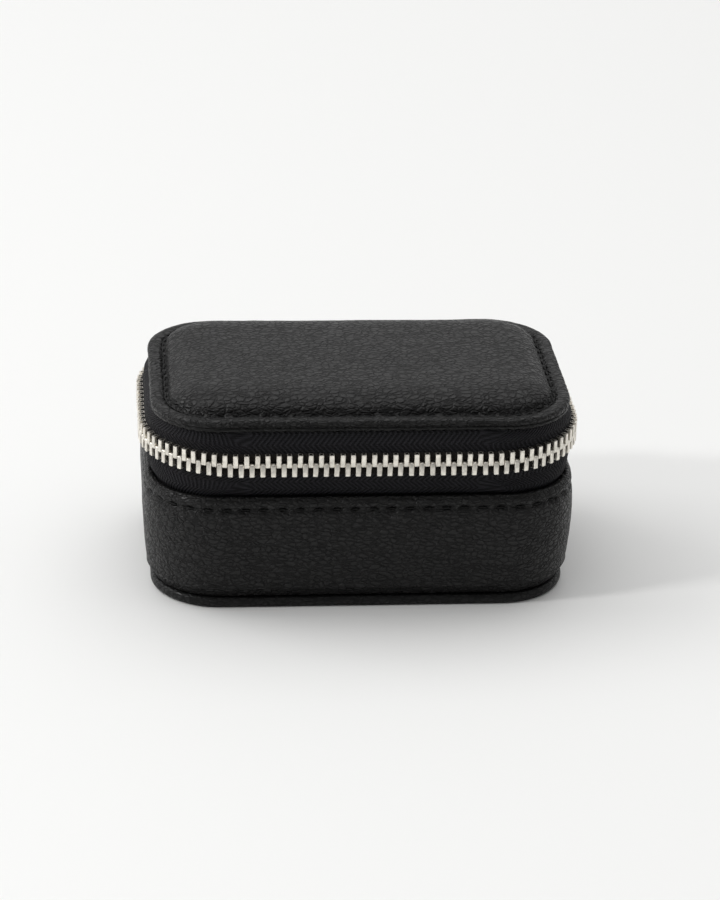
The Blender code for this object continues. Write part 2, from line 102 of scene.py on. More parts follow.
# %% The legs of the outline, and a place on them
def legs(softer=0.0, line=0.0):
    """Straights and quarter turns, clockwise from the middle of the rear, with lengths at an offset."""
    x, y = SIDE_X - softer, SIDE_Y - softer
    turn = (CORNER + softer + line) * math.pi / 2
    return (
        ("line", Vector((0, y)), x, 90), ("turn", Vector((x, y)), turn, 90),
        ("line", Vector((x, y)), 2 * y, 0), ("turn", Vector((x, -y)), turn, 0),
        ("line", Vector((x, -y)), 2 * x, -90), ("turn", Vector((-x, -y)), turn, -90),
        ("line", Vector((-x, -y)), 2 * y, -180), ("turn", Vector((-x, y)), turn, -180),
        ("line", Vector((-x, y)), x, -270),
    )


def length_of(softer=0.0, line=0.0):
    return sum(leg[2] for leg in legs(softer, line))


def station(along, softer=0.0, line=0.0):
    """The corner centre, the way out and the way ahead at a distance along the outline."""
    for kind, point, length, out in legs(softer, line):
        if along <= length + 1e-9:
            turned = math.radians(out) - (along / length * math.pi / 2 if kind == "turn" else 0)
            outward = Vector((math.cos(turned), math.sin(turned)))
            ahead = Vector((outward.y, -outward.x))
            return point + (ahead * along if kind == "line" else Vector((0, 0))), outward, ahead
        along -= length
    return station(0.0, softer, line)


print("round the lid's edge:", round(length_of() / MM), "mm")


# %% The sweep itself
def carry(bm, edges, way):
    """Extrudes a line of edges by a vector and gives the new line."""
    made = bmesh.ops.extrude_edge_only(bm, edges=edges)["geom"]
    moved = {v for v in made if isinstance(v, bmesh.types.BMVert)}
    bmesh.ops.translate(bm, vec=way, verts=list(moved))
    return [e for e in made if isinstance(e, bmesh.types.BMEdge) and moved.issuperset(e.verts)]


def sweep(section, softer=0.0, stretch=None, line=0.0, closed=True, fill=False, step=1.0 * MM):
    """Carries a section of (offset, height) points round the outline, or along a stretch of it."""
    bm = bmesh.new()
    start, end = stretch or (0.0, length_of(softer, line))
    centre, outward, _ = station(start, softer, line)
    radius = CORNER + softer
    first = [bm.verts.new((*(centre + outward * (radius + out)), up)) for out, up in section]
    pairs = list(zip(first, first[1:])) + ([(first[-1], first[0])] if closed else [])
    edges = [bm.edges.new(pair) for pair in pairs]
    passed = 0.0
    for kind, point, length, out in legs(softer, line):
        low, high = max(start, passed), min(end, passed + length)
        passed += length
        if high - low < 1e-7:
            continue
        steps = max(1, round((high - low) / step))
        if kind == "line":
            ahead = Vector((math.sin(math.radians(out)), -math.cos(math.radians(out)), 0))
            for _ in range(steps):
                edges = carry(bm, edges, ahead * (high - low) / steps)
        else:
            verts = list({v for e in edges for v in e.verts})
            turned = bmesh.ops.spin(
                bm, geom=verts + edges, cent=(*point, 0), axis=(0, 0, -1),
                angle=(high - low) / length * math.pi / 2, steps=steps, use_merge=False, use_duplicate=False,
            )["geom_last"]
            edges = [e for e in turned if isinstance(e, bmesh.types.BMEdge)]
    if stretch is None:
        bmesh.ops.remove_doubles(bm, verts=bm.verts, dist=2e-6)
    if fill or stretch:
        bmesh.ops.holes_fill(bm, edges=[e for e in bm.edges if e.is_boundary], sides=0)
    bmesh.ops.recalc_face_normals(bm, faces=bm.faces)
    return bm


# %% Unrolling: where a point is along the outline and how far out it is
def unroll(x, y, softer=0.0, line=0.0):
    """The distance along the outline, clockwise from the rear's middle, and the offset outwards."""
    side_x, side_y = SIDE_X - softer, SIDE_Y - softer
    radius = CORNER + softer
    quarter = (radius + line) * math.pi / 2
    over_x, over_y = abs(x) - side_x, abs(y) - side_y
    half = side_x + quarter + side_y
    if over_x > 0 and over_y > 0:
        angle = math.atan2(over_x, over_y)
        along = side_x + quarter * angle / (math.pi / 2)
        offset = math.hypot(over_x, over_y) - radius
    elif over_y > over_x:
        along, offset = abs(x), over_y - radius
    else:
        along, offset = half - abs(y), over_x - radius
    if y < 0:
        along = 2 * half - along
    if x < 0:
        along = length_of(softer, line) - along
    return along, offset


print("middle of the front is", round(unroll(0.0001, -HALF_DEPTH)[0] / MM), "mm along")

# %% [markdown]
# ## Finishes
#
# Every finish is made of nodes, so it has no picture to repeat or blur. Leather is a field of small
# pebbles with fine creases between them: a Voronoi texture's distance to its cell edges makes the
# pebbles, and noise bends them so that no two are alike. The pattern reads Object coordinates, which
# are metres on the real case, so a scale near 900 means pebbles of about a millimetre.

# %% Small helpers for node trees
def new_material(name, colour, roughness, metallic=0.0):
    made = bpy.data.materials.new(name)
    made.use_nodes = True
    shader = made.node_tree.nodes["Principled BSDF"]
    shader.inputs["Base Color"].default_value = (*colour, 1)
    shader.inputs["Roughness"].default_value = roughness
    shader.inputs["Metallic"].default_value = metallic
    return made, made.node_tree, shader


def node(tree, kind, values=(), inputs=()):
    """Adds a node, sets its properties and its inputs; an input may be a value or another socket."""
    made = tree.nodes.new(kind)
    for key, value in dict(values).items():
        setattr(made, key, value)
    for key, value in dict(inputs).items():
        if isinstance(value, bpy.types.NodeSocket):
            tree.links.new(value, made.inputs[key])
        else:
            made.inputs[key].default_value = value
    return made


def object_place(tree):
    return node(tree, "ShaderNodeTexCoord").outputs["Object"]


def math_node(tree, operation, a, b=0.0, c=0.0):
    return node(tree, "ShaderNodeMath", {"operation": operation}, {0: a, 1: b, 2: c}).outputs[0]


def speckle(tree, place, scale, detail, roughness=0.5):
    """Noise from 0 to 1, with about as many bumps to the metre as its scale."""
    inputs = {"Vector": place, "Scale": scale, "Detail": detail, "Roughness": roughness}
    return node(tree, "ShaderNodeTexNoise", {}, inputs).outputs["Fac"]


def remap(tree, value, low, high, to_low=0.0, to_high=1.0, curve="LINEAR"):
    """Turns the range from low to high into the range from to_low to to_high."""
    inputs = {"Value": value, "From Min": low, "From Max": high, "To Min": to_low, "To Max": to_high}
    return node(tree, "ShaderNodeMapRange", {"interpolation_type": curve}, inputs).outputs["Result"]


def ramp(tree, value, stops):
    """A colour ramp through (position, colour) stops."""
    made = node(tree, "ShaderNodeValToRGB", {}, {"Fac": value})
    bar = made.color_ramp
    while len(bar.elements) < len(stops):
        bar.elements.new(0.5)
    for element, (position, colour) in zip(bar.elements, stops):
        element.position = position
        element.color = (*colour, 1)
    return made.outputs["Color"]


def shade(colour, factor):
    return [c * factor for c in colour]


def paint(tree, shader, value, *stops):
    """Colours the surface by a value, through (position, colour) stops."""
    tree.links.new(ramp(tree, value, stops), shader.inputs["Base Color"])


def relief(tree, shader, height, strength, depth):
    """Raises and lowers the surface in the light by a height field."""
    bump = node(tree, "ShaderNodeBump", {}, {"Strength": strength, "Distance": depth, "Height": height})
    tree.links.new(bump.outputs["Normal"], shader.inputs["Normal"])


# %% Pebbled black leather
PEBBLES = 880.0
GRAIN_STRETCH = (0.62, 0.85, 1.15)


def leather(name, colour=(0.0090, 0.0088, 0.0088), roughness=0.35, depth=0.26 * MM, crumpled=1.0):
    """Creases round small pebbles, shallower in places, and a finer crumple; the creases get painted shade.
    """
    made, tree, shader = new_material(name, colour, roughness)
    place = node(tree, "ShaderNodeMapping", {},
                 {"Vector": object_place(tree), "Scale": GRAIN_STRETCH}).outputs[0]
    bend = node(tree, "ShaderNodeTexNoise", {}, {"Vector": place, "Scale": 420.0, "Detail": 3.0})
    bent = node(tree, "ShaderNodeMixRGB", {"blend_type": "LINEAR_LIGHT"},
                {"Fac": 0.0009, "Color1": place, "Color2": bend.outputs["Color"]}).outputs["Color"]
    to_edge = node(tree, "ShaderNodeTexVoronoi", {"feature": "DISTANCE_TO_EDGE"},
                   {"Vector": bent, "Scale": PEBBLES, "Randomness": 1.0}).outputs["Distance"]
    ridge = remap(tree, to_edge, 0.0, 0.25, curve="SMOOTHSTEP")
    keep = remap(tree, speckle(tree, place, 520.0, 2.0), 0.35, 0.62, to_low=0.62)
    crease = math_node(tree, "MULTIPLY", math_node(tree, "SUBTRACT", 1.0, ridge), keep)
    groove = math_node(tree, "SUBTRACT", 1.0, crease)
    small = node(tree, "ShaderNodeTexVoronoi", {"feature": "F1"},
                 {"Vector": bent, "Scale": PEBBLES * 2.7}).outputs["Distance"]
    crumple = speckle(tree, bent, 430.0, 4.0, 0.55)
    fine = math_node(tree, "MULTIPLY_ADD", small, -0.25, groove)
    relief(tree, shader, math_node(tree, "MULTIPLY_ADD", crumple, 1.1 * crumpled, fine), 1.0, depth)
    # The colour mixes a random tone from the crumple with painted shade in the creases and painted light on
    # the pebbles' tops.
    tone_and_shade = math_node(tree, "MULTIPLY_ADD", crumple, 0.35, math_node(tree, "MULTIPLY", groove, 0.65))
    paint(tree, shader, tone_and_shade, (0.3, shade(colour, 0.75)), (0.72, colour), (0.95, shade(colour, 1.2)))
    gloss = remap(tree, tone_and_shade, 0.3, 0.95, roughness + 0.16, roughness - 0.05)
    tree.links.new(gloss, shader.inputs["Roughness"])
    sheen = remap(tree, groove, 0.1, 0.95, 0.19, 0.28)
    tree.links.new(sheen, shader.inputs["Specular IOR Level"])
    return made


lid_leather = leather("black_pebbled_leather_lid")
band_leather = leather("black_pebbled_leather_band", crumpled=0.8)
edge_leather = leather("black_edge_leather", colour=(0.008, 0.008, 0.008), roughness=0.34, depth=0.10 * MM)
print("leathers made")


# %% Woven tape, thread, elastic and cord
def twill(name, colour=(0.0060, 0.0058, 0.0068), rib=1.25 * MM, lane=2.3 * MM, pick=0.42 * MM):
    """Herringbone twill: slanting ribs that change direction from lane to lane. It reads the piece's UVs."""
    made, tree, shader = new_material(name, colour, 0.72)
    flat = node(tree, "ShaderNodeTexCoord").outputs["UV"]
    parts = node(tree, "ShaderNodeSeparateXYZ", {}, {"Vector": flat})
    across = parts.outputs["Y"]
    slanted = math_node(tree, "ADD", parts.outputs["X"], math_node(tree, "PINGPONG", across, lane))
    ribs = math_node(tree, "SINE", math_node(tree, "MULTIPLY", slanted, 2 * math.pi / rib))
    picks = math_node(tree, "SINE", math_node(tree, "MULTIPLY", across, 2 * math.pi / pick))
    threads = math_node(tree, "MULTIPLY_ADD", picks, 0.35, ribs)
    height = math_node(tree, "MULTIPLY_ADD", speckle(tree, flat, 2600.0, 4.0), 1.2, threads)
    relief(tree, shader, height, 1.0, 0.16 * MM)
    # The colour follows the weave's relief: painted light on the ribs and painted shade in the grooves, with
    # some random tone from the noise.
    tone_and_shade = math_node(tree, "MULTIPLY_ADD", height, 0.22, 0.35)
    paint(tree, shader, tone_and_shade, (0.1, shade(colour, 0.15)), (0.85, shade(colour, 4.0)))
    shader.inputs["Specular IOR Level"].default_value = 0.15
    return made


def yarn(name, colour, roughness, twist=0.55 * MM):
    """Twisted thread or cord: fine slanting strands from a wave bent by noise."""
    made, tree, shader = new_material(name, colour, roughness)
    shader.inputs["Specular IOR Level"].default_value = 0.2
    inputs = {"Vector": object_place(tree), "Scale": 0.32 / twist, "Distortion": 1.5, "Detail": 2.0}
    wave = node(tree, "ShaderNodeTexWave", {"bands_direction": "DIAGONAL"}, inputs).outputs["Fac"]
    relief(tree, shader, wave, 0.8, 0.06 * MM)
    # The colour follows the same wave as the relief: painted light on the strands and painted shade between
    # them.
    paint(tree, shader, wave, (0.2, shade(colour, 0.6)), (0.8, shade(colour, 1.4)))
    return made


tape_cloth = twill("black_zip_tape")
thread = yarn("black_thread", (0.006, 0.006, 0.006), 0.5)
cord_yarn = yarn("dark_zip_cord", (0.0050, 0.0033, 0.0022), 0.8, twist=0.4 * MM)
elastic_cloth = yarn("black_elastic", (0.012, 0.012, 0.013), 0.75, twist=0.5 * MM)


# %% Metal, velvet, foam and board
def metal(name, colour=(0.72, 0.68, 0.60), roughness=0.22, mottle=0.2):
    """Tumbled white metal: soft small dents, and a roughness that varies from spot to spot."""
    made, tree, shader = new_material(name, colour, roughness, 1.0)
    spots = speckle(tree, object_place(tree), 900.0, 5.0, 0.6)
    relief(tree, shader, spots, mottle, 0.05 * MM)
    paint(tree, shader, spots, (0.3, shade(colour, 0.72)), (0.6, colour))
    rough = remap(tree, spots, 0.3, 0.7, roughness + 0.1, roughness - 0.04)
    tree.links.new(rough, shader.inputs["Roughness"])
    return made


def velvet(name, colour=(0.010, 0.010, 0.012)):
    """A short dense pile: it glows at its edges, and it is brushed lighter and darker in patches."""
    made, tree, shader = new_material(name, colour, 0.95)
    place = object_place(tree)
    tips = speckle(tree, place, 5200.0, 3.0)
    brushed = speckle(tree, place, 90.0, 3.0, 0.55)
    relief(tree, shader, math_node(tree, "MULTIPLY_ADD", brushed, 0.6, tips), 0.7, 0.1 * MM)
    paint(tree, shader, brushed, (0.35, shade(colour, 0.6)), (0.68, shade(colour, 1.9)))
    shader.inputs["Sheen Weight"].default_value = 0.8
    shader.inputs["Sheen Roughness"].default_value = 0.35
    shader.inputs["Specular IOR Level"].default_value = 0.2
    return made


def matte(name, colour, grain):
    """A matte, slightly speckled stuff, for board and foam."""
    made, tree, shader = new_material(name, colour, 0.9)
    specks = speckle(tree, object_place(tree), grain, 6.0)
    relief(tree, shader, specks, 0.5, 0.05 * MM)
    paint(tree, shader, specks, (0.3, shade(colour, 0.7)), (0.7, shade(colour, 1.2)))
    return made


tooth_metal = metal("white_metal_teeth", colour=(0.93, 0.89, 0.81), roughness=0.40, mottle=0.25)
slider_metal = metal("white_metal_slider")
pile = velvet("black_velvet")
board_grey = matte("grey_board", (0.30, 0.27, 0.23), 1500.0)
foam_grey = matte("grey_foam", (0.16, 0.16, 0.17), 2600.0)
print(len(bpy.data.materials), "finishes")


# %% Storing a finished piece, and small helpers for meshes
def as_mesh(bm, name):
    mesh = bpy.data.meshes.new(name)
    bm.to_mesh(mesh)
    bm.free()
    return mesh


def piece(bm, name, finish, slot, body, *stands_for, smooth=60):
    """Makes the object at the origin, hangs it on its body and hides the CAD pieces it stands for."""
    mesh = as_mesh(bm, name)
    mesh.materials.append(finish)
    mesh.shade_smooth()
    mesh.set_sharp_from_angle(angle=math.radians(smooth))
    made = bpy.data.objects.new(name, mesh)
    bpy.context.scene.collection.objects.link(made)
    if body:
        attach(made, body)
    if stands_for:
        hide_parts(*stands_for)
    print(f"{name}: {len(mesh.polygons)} faces")
    return made


def skin(made):
    """Gives a surface the thickness of leather, inwards."""
    layer = made.modifiers.new("skin", "SOLIDIFY")
    layer.thickness, layer.offset = 0.3 * MM, -1.0


def bevel(bm, edges, width, segments):
    bmesh.ops.bevel(bm, geom=edges, offset=width, offset_type="OFFSET", segments=segments, profile=0.5,
                    affect="EDGES", material=-1)


def add_copy(bm, mesh, place):
    """Adds a copy of a mesh, moved by a matrix."""
    before = len(bm.verts)
    bm.from_mesh(mesh)
    bm.verts.ensure_lookup_table()
    bmesh.ops.transform(bm, matrix=place, verts=bm.verts[before:])


def way_out(x, y):
    """The direction outwards at a point, square to the outline."""
    nearest = Vector((max(-SIDE_X, min(x, SIDE_X)), max(-SIDE_Y, min(y, SIDE_Y))))
    return (Vector((x, y)) - nearest).normalized()


def waviness(x, y, z, size, seed=0.0):
    """Smooth noise from -1 to 1 with bumps of about the given size."""
    return noise.noise(Vector((x, y, z)) / size + Vector((seed, seed * 1.7, -seed)))


def bell(distance, width):
    return math.exp(-((distance / width) ** 2))


# %% [markdown]
# ## The padded lid
#
# The lid's top is one skin of leather, pulled over foam and board and rolled under at the edge. A row
# of stitches nearly four millimetres in pulls it down into a groove, and the middle swells up behind
# it. The section below goes from under the edge, round the roll, through the groove and up the crown,
# which rises steeply at first and then flattens. Past the corners' centres a ring has no radius left,
# so its corners are drawn in squarely until the last ring is a line, which is closed by merging it.

# %% The lid's section, from under its edge to its middle
STITCH_IN = 3.75 * MM
CROWN_START = 4.4 * MM
SHOULDER = 9.5 * MM
LID_STITCHES = 86


def crown(inward):
    """The height of the lid's top above its flat edge, at a distance in from the edge."""
    past = max(inward - CROWN_START, 0.0)
    shoulder = 1 - min(past, SHOULDER) / SHOULDER
    return SWELL * (0.82 * math.sqrt(1 - shoulder * shoulder) + 0.18 * (1 - math.exp(-past / SHOULDER)))


def lid_section():
    under = FLANGE_TOP - 0.9 * MM
    points = [(-8.0 * MM, under + 0.3 * MM), (-5.0 * MM, under - 0.2 * MM), (-0.95 * MM, under - 0.2 * MM),
              (-0.9 * MM, ROLL_BOTTOM + 0.1 * MM), (-0.6 * MM, ROLL_BOTTOM + 0.02 * MM)]
    radius = 0.72 * MM
    tall = (FLANGE_TOP - ROLL_BOTTOM) / 2
    for step in range(11):
        turn = math.radians(-75 + 165 * step / 10)
        points.append((-radius + radius * math.cos(turn),
                       FLANGE_TOP - 0.06 * MM - tall + tall * math.sin(turn)))
    for inward in (1.1, 1.5, 1.9, 2.3, 2.6, 2.9, 3.15, 3.35, 3.55, 3.75, 3.95, 4.15, 4.4):
        dome = 0.12 * MM * math.sin(math.pi * min(inward / 3.4, 1.0))
        points.append((-inward * MM, FLANGE_TOP - 0.06 * MM + dome))
    inward = CROWN_START + 0.3 * MM
    while inward < HALF_DEPTH - 0.4 * MM:
        points.append((-inward, FLANGE_TOP - 0.05 * MM + crown(inward)))
        inward += min(0.3 * MM + 0.055 * (inward - CROWN_START), 0.8 * MM)
    points.append((-HALF_DEPTH, FLANGE_TOP - 0.05 * MM + crown(HALF_DEPTH)))
    return points


# %% Sweep the lid, draw its inner rings in, then press the stitches and ruffle the leather
def stitch_phase(along, count):
    """How far a place is from the nearest stitch's end, from 0 at an end to 1 in a stitch's middle."""
    return math.sin(math.pi * (along / length_of() * count % 1.0)) ** 2


def lid_top():
    section = lid_section()
    bm = sweep(section, closed=False, step=0.6 * MM)
    for vert in bm.verts:
        if vert.co.z > FLANGE_TOP + 0.3 * MM:
            inward = min(section, key=lambda point: abs(point[1] - vert.co.z))[0] * -1
            if inward > CORNER:
                left = CORNER - inward
                vert.co.x = math.copysign(min(abs(vert.co.x), SIDE_X + left), vert.co.x)
                vert.co.y = math.copysign(min(abs(vert.co.y), max(SIDE_Y + left, 0.0)), vert.co.y)
    bmesh.ops.remove_doubles(bm, verts=bm.verts, dist=0.03 * MM)
    bmesh.ops.recalc_face_normals(bm, faces=bm.faces)
    for vert in bm.verts:
        x, y, z = vert.co
        from_edge = min(HALF_WIDTH - abs(x), HALF_DEPTH - abs(y))
        if z < ROLL_BOTTOM + 0.2 * MM or (z < FLANGE_TOP - 0.5 * MM and from_edge > 1 * MM):
            continue
        along, offset = unroll(x, y)
        inward = -offset
        pull = stitch_phase(along, LID_STITCHES)
        groove = bell(inward - STITCH_IN, 0.62 * MM) * (0.46 + 0.40 * pull) * MM
        pucker = bell(inward - STITCH_IN, 1.9 * MM) * pull * 0.16 * MM
        along_wave = waviness(x, y, 0, 7 * MM, 3.0) * 0.12 * MM + waviness(x, y, 0, 3.1 * MM, 9.0) * 0.06 * MM
        swell = waviness(x, y, 0, 21 * MM) * 0.16 * MM + waviness(x, y, 0, 9 * MM, 5.0) * 0.07 * MM
        grain = waviness(x, y, z, 1.6 * MM, 2.0) * 0.035 * MM
        lift = along_wave if inward < STITCH_IN else swell * min((inward - STITCH_IN) / (5 * MM), 1.0)
        sway = waviness(x, y, 0, 34 * MM, 12.0) * 0.45 * MM
        vert.co.z += lift * 0.8 + sway + grain - groove - pucker
        if inward < 1.4 * MM and z < FLANGE_TOP - 0.1 * MM:
            vert.co.xy += way_out(x, y) * (waviness(x, y, z, 2.6 * MM, 7.0) * 0.10 - 0.02) * MM
    return bm


lid_shell = piece(lid_top(), "lid_padded_top", lid_leather, "leather", "lid", "lid_top_leather", smooth=80)
skin(lid_shell)

# %% [markdown]
# ## The lip under the lid's edge
#
# Under the roll a thin folded strip of leather is sewn on, and the zip's tape goes up behind it. It is
# narrower than the roll, so it lies in the roll's shadow, and the seam pulls it into small scallops.

# %% Model the lip
LIP_STITCHES = 122


def round_section(out, low, high, back, radius, steps=4):
    """A strip's section with a rounded outer face, from its back edge round to its back edge."""
    middle = (low + high) / 2
    half = (high - low) / 2
    points = [(back, low)]
    for step in range(-steps, steps + 1):
        turn = step / steps * math.pi / 2
        points.append((out - radius + radius * math.cos(turn), middle + half * math.sin(turn)))
    return points + [(back, high)]


lip = sweep(round_section(-0.22 * MM, lip_low.z - 0.5 * MM, lip_high.z + 0.05 * MM, -1.1 * MM, 0.4 * MM),
            step=0.5 * MM)
for vert in lip.verts:
    along, offset = unroll(vert.co.x, vert.co.y)
    if offset > -0.8 * MM:
        scallop = stitch_phase(along, LIP_STITCHES) * 0.16 * MM
        scallop += waviness(*vert.co, 2.2 * MM, 4.0) * 0.08 * MM
        vert.co.z += scallop * (1 if vert.co.z < (lip_low.z + lip_high.z) / 2 else 0.3)
piece(lip, "lid_folded_lip", edge_leather, "leather", "lid", "lid_edge_facing")

# %% [markdown]
# ## Stitches
#
# A sewing machine lays each stitch as a short bridge of twisted thread that dips into the leather at
# both ends. One stitch is a small bent barrel. It is made once and joined into one mesh round the
# outline, so it keeps to a few dozen faces.

# %% A row of stitches
def stitch_row(name, count, radius, share, place, body, *stands_for, whole=None):
    """Copies one stitch along a row; place(along) gives its centre, its way ahead and its way up."""
    whole = whole or length_of()
    single = bmesh.new()
    half = whole / count * share / 2
    bmesh.ops.create_uvsphere(single, u_segments=8, v_segments=6, radius=1.0)
    for vert in single.verts:
        x, y, z = vert.co
        across = 1.0 if abs(z) < 0.9 else 0.5
        vert.co = (z * half, x * radius * across, y * radius * across - 0.30 * MM * z * z)
    mesh = as_mesh(single, name + "_one")
    bm = bmesh.new()
    shake = random.Random(7)
    for n in range(count):
        centre, ahead, up = place((n + 0.5) / count * whole)
        side = up.cross(ahead)
        turn = Matrix.Rotation(math.radians(shake.uniform(-5, 5)), 3, up)
        base = Matrix((turn @ ahead, turn @ side, up)).transposed()
        add_copy(bm, mesh, Matrix.Translation(centre) @ base.to_4x4())
    bpy.data.meshes.remove(mesh)
    return piece(bm, name, thread, "thread", body, *stands_for)


def on_the_lid(along):
    centre, outward, ahead = station(along)
    spot = centre + outward * (CORNER - STITCH_IN)
    return Vector((*spot, FLANGE_TOP - 0.50 * MM)), Vector((*ahead, 0)), Vector((0, 0, 1))


stitch_row("lid_row_of_stitches", LID_STITCHES, 0.27 * MM, 0.74, on_the_lid, "lid", "lid_stitching")

# %% [markdown]
# ## The leather band round the base
#
# The base's wall wears a band of the same leather. Its top edge is folded over and sewn three
# millimetres down, so it has a narrow rim, dimples at the stitches, and a soft bulge below. It goes
# under itself at the bottom, which leaves a dark recess above the bottom edge.

# %% Model the band
BAND_STITCHES = 70
BAND_SEAM_Z = BAND_TOP - 3.0 * MM
BAND_OUT = band_high.x - HALF_WIDTH + 0.3 * MM


def band_section():
    rim_out, rim_radius = 0.86 * MM, 0.55 * MM
    points = [(-0.75 * MM, BAND_TOP - 6 * MM), (-0.75 * MM, BAND_TOP - 0.5 * MM),
              (-0.5 * MM, BAND_TOP - 0.12 * MM)]
    for step in range(7):
        turn = math.radians(90 - 90 * step / 6)
        points.append((rim_out - rim_radius + rim_radius * math.cos(turn),
                       BAND_TOP - rim_radius + rim_radius * math.sin(turn)))
    down = 0.8 * MM
    deep = BAND_TOP - BAND_BOTTOM - 3.2 * MM
    while down < deep:
        share = down / deep
        bulge = math.sin(math.pi * min(share * 0.93 + 0.1, 1.0)) ** 0.8
        points.append((rim_out + (BAND_OUT - 1.0 * MM) * bulge, BAND_TOP - down))
        down += 0.32 * MM if down < 5 * MM else 0.6 * MM
    for step in range(1, 8):
        turn = math.radians(90 * step / 7)
        points.append((0.95 * MM - 1.75 * MM * (1 - math.cos(turn)),
                       BAND_TOP - deep - 1.35 * MM * math.sin(turn)))
    points.append((-0.8 * MM, BAND_BOTTOM + 0.05 * MM))
    return points


band = sweep(band_section(), closed=False, step=0.6 * MM)
for vert in band.verts:
    x, y, z = vert.co
    along, offset = unroll(x, y)
    if offset < 0.2 * MM:
        continue
    drop = z - BAND_SEAM_Z
    pull = stitch_phase(along, BAND_STITCHES)
    dent = bell(drop, 0.55 * MM) * (0.30 + 0.62 * pull) * MM + bell(drop, 1.7 * MM) * pull * 0.12 * MM
    crease = bell(drop - 2.05 * MM, 0.28 * MM) * 0.14 * MM
    ripple = waviness(x, y, z * 0.6, 6.5 * MM, 1.0) * 0.16 * MM + waviness(x, y, z, 2.4 * MM, 6.0) * 0.05 * MM
    seam = bell(x, 0.4 * MM) * 0.25 * MM if y > 0 else 0.0
    vert.co.xy += way_out(x, y) * (ripple - dent - crease - seam)
    if z > BAND_TOP - 1.2 * MM:
        vert.co.z += waviness(x, y, 0, 5 * MM, 8.0) * 0.14 * MM
skin(piece(band, "band_of_leather", band_leather, "leather", "base", "base_band_leather", smooth=80))


def on_the_band(along):
    centre, outward, ahead = station(along)
    spot = centre + outward * (CORNER + BAND_OUT - 1.0 * MM)
    return Vector((*spot, BAND_SEAM_Z)), Vector((*ahead, 0)), Vector((*outward, 0))


stitch_row("band_row_of_stitches", BAND_STITCHES, 0.24 * MM, 0.60, on_the_band, "base", "band_stitching")

# %% [markdown]
# ## The bottom
#
# The bottom is a board wrapped in smooth leather, with a rolled edge that stands just outside the
# recess. It is a filled section: its underside is flat, and the case stands on it.

# %% Model the bottom edge
def bottom_section():
    points = [(-9 * MM, 0.35 * MM), (-1.0 * MM, 0.0)]
    half, roll = edge_high.z / 2, 0.95 * MM
    for step in range(9):
        turn = math.radians(-80 + 160 * step / 8)
        points.append((edge_high.x - HALF_WIDTH - roll + roll * math.cos(turn), half + half * math.sin(turn)))
    points.append((-2.4 * MM, edge_high.z - 0.02 * MM))
    return points


bottom = sweep(bottom_section(), closed=False, fill=True, step=0.8 * MM)
for vert in bottom.verts:
    if unroll(vert.co.x, vert.co.y)[1] > -0.5 * MM and vert.co.z > 0.4 * MM:
        vert.co.z += waviness(*vert.co, 4 * MM, 2.0) * 0.10 * MM
piece(bottom, "bottom_wrapped_edge", edge_leather, "leather", "base", "bottom_leather")

# %% [markdown]
# ## The zip's tapes
#
# A zip is two woven tapes with a row of teeth on the edge of each. The tapes are herringbone twill.
# Each tape is swept on the zip's own path, which turns more gently than the case, and is then drawn in
# at the corners where it is sewn to the case. Its own UVs say how far along and how far across the
# tape a point is, so the weave follows the tape round the corners.

# %% Tapes with a weave that follows them
CHAIN_HALF = 2.8 * MM
ZIP_LINE = 1.7 * MM
ZIP_ROUND = length_of(ZIP_SOFTER, ZIP_LINE)
TEETH, TAIL_TEETH = 109, 9
END = 16 * MM
PITCH = (ZIP_ROUND - 2 * END) / TEETH
TAIL = TAIL_TEETH * PITCH
print("zip:", round(ZIP_ROUND / MM, 1), "mm round, pitch", round(PITCH / MM, 3))


def tighten(bm, share_at):
    """Brings a piece on the zip's path back to the case's own corners, by a share that depends on height."""
    zip_x, zip_y = SIDE_X - ZIP_SOFTER, SIDE_Y - ZIP_SOFTER
    for vert in bm.verts:
        over = Vector((abs(vert.co.x) - zip_x, abs(vert.co.y) - zip_y))
        if min(over) < -1e-6 or max(over) < 1e-6:
            continue
        out = over.normalized()
        slide = ZIP_SOFTER * share_at(vert.co.z)
        vert.co.x = math.copysign(abs(vert.co.x) + slide * (1 - out.x), vert.co.x)
        vert.co.y = math.copysign(abs(vert.co.y) + slide * (1 - out.y), vert.co.y)


def corner_share(height):
    past = (abs(height - ZIP_Z) - CHAIN_HALF) / (ZIP_Z - CHAIN_HALF - BAND_TOP - 0.5 * MM)
    past = max(0.0, min(past, 1.0))
    return past * past * (3 - 2 * past)


def tape_line(side):
    """The tape's middle line, from beside the teeth to where it is sewn behind the leather."""
    start = ZIP_Z + side * (CHAIN_HALF - 1.1 * MM)
    under_lip = lip_low.z - 0.2 * MM
    if side > 0:
        ends = [(0.95 * MM, ZIP_Z + 3.4 * MM), (0.6 * MM, ZIP_Z + 5.2 * MM),
                (-0.15 * MM, under_lip - 1.4 * MM), (-1.3 * MM, under_lip + 0.3 * MM)]
    else:
        ends = [(1.0 * MM, ZIP_Z - 3.5 * MM), (0.6 * MM, ZIP_Z - 5.2 * MM), (-0.35 * MM, BAND_TOP + 1.2 * MM),
                (-1.3 * MM, BAND_TOP - 0.2 * MM), (-1.35 * MM, BAND_TOP - 4 * MM)]
    return [(1.15 * MM, start)] + ends


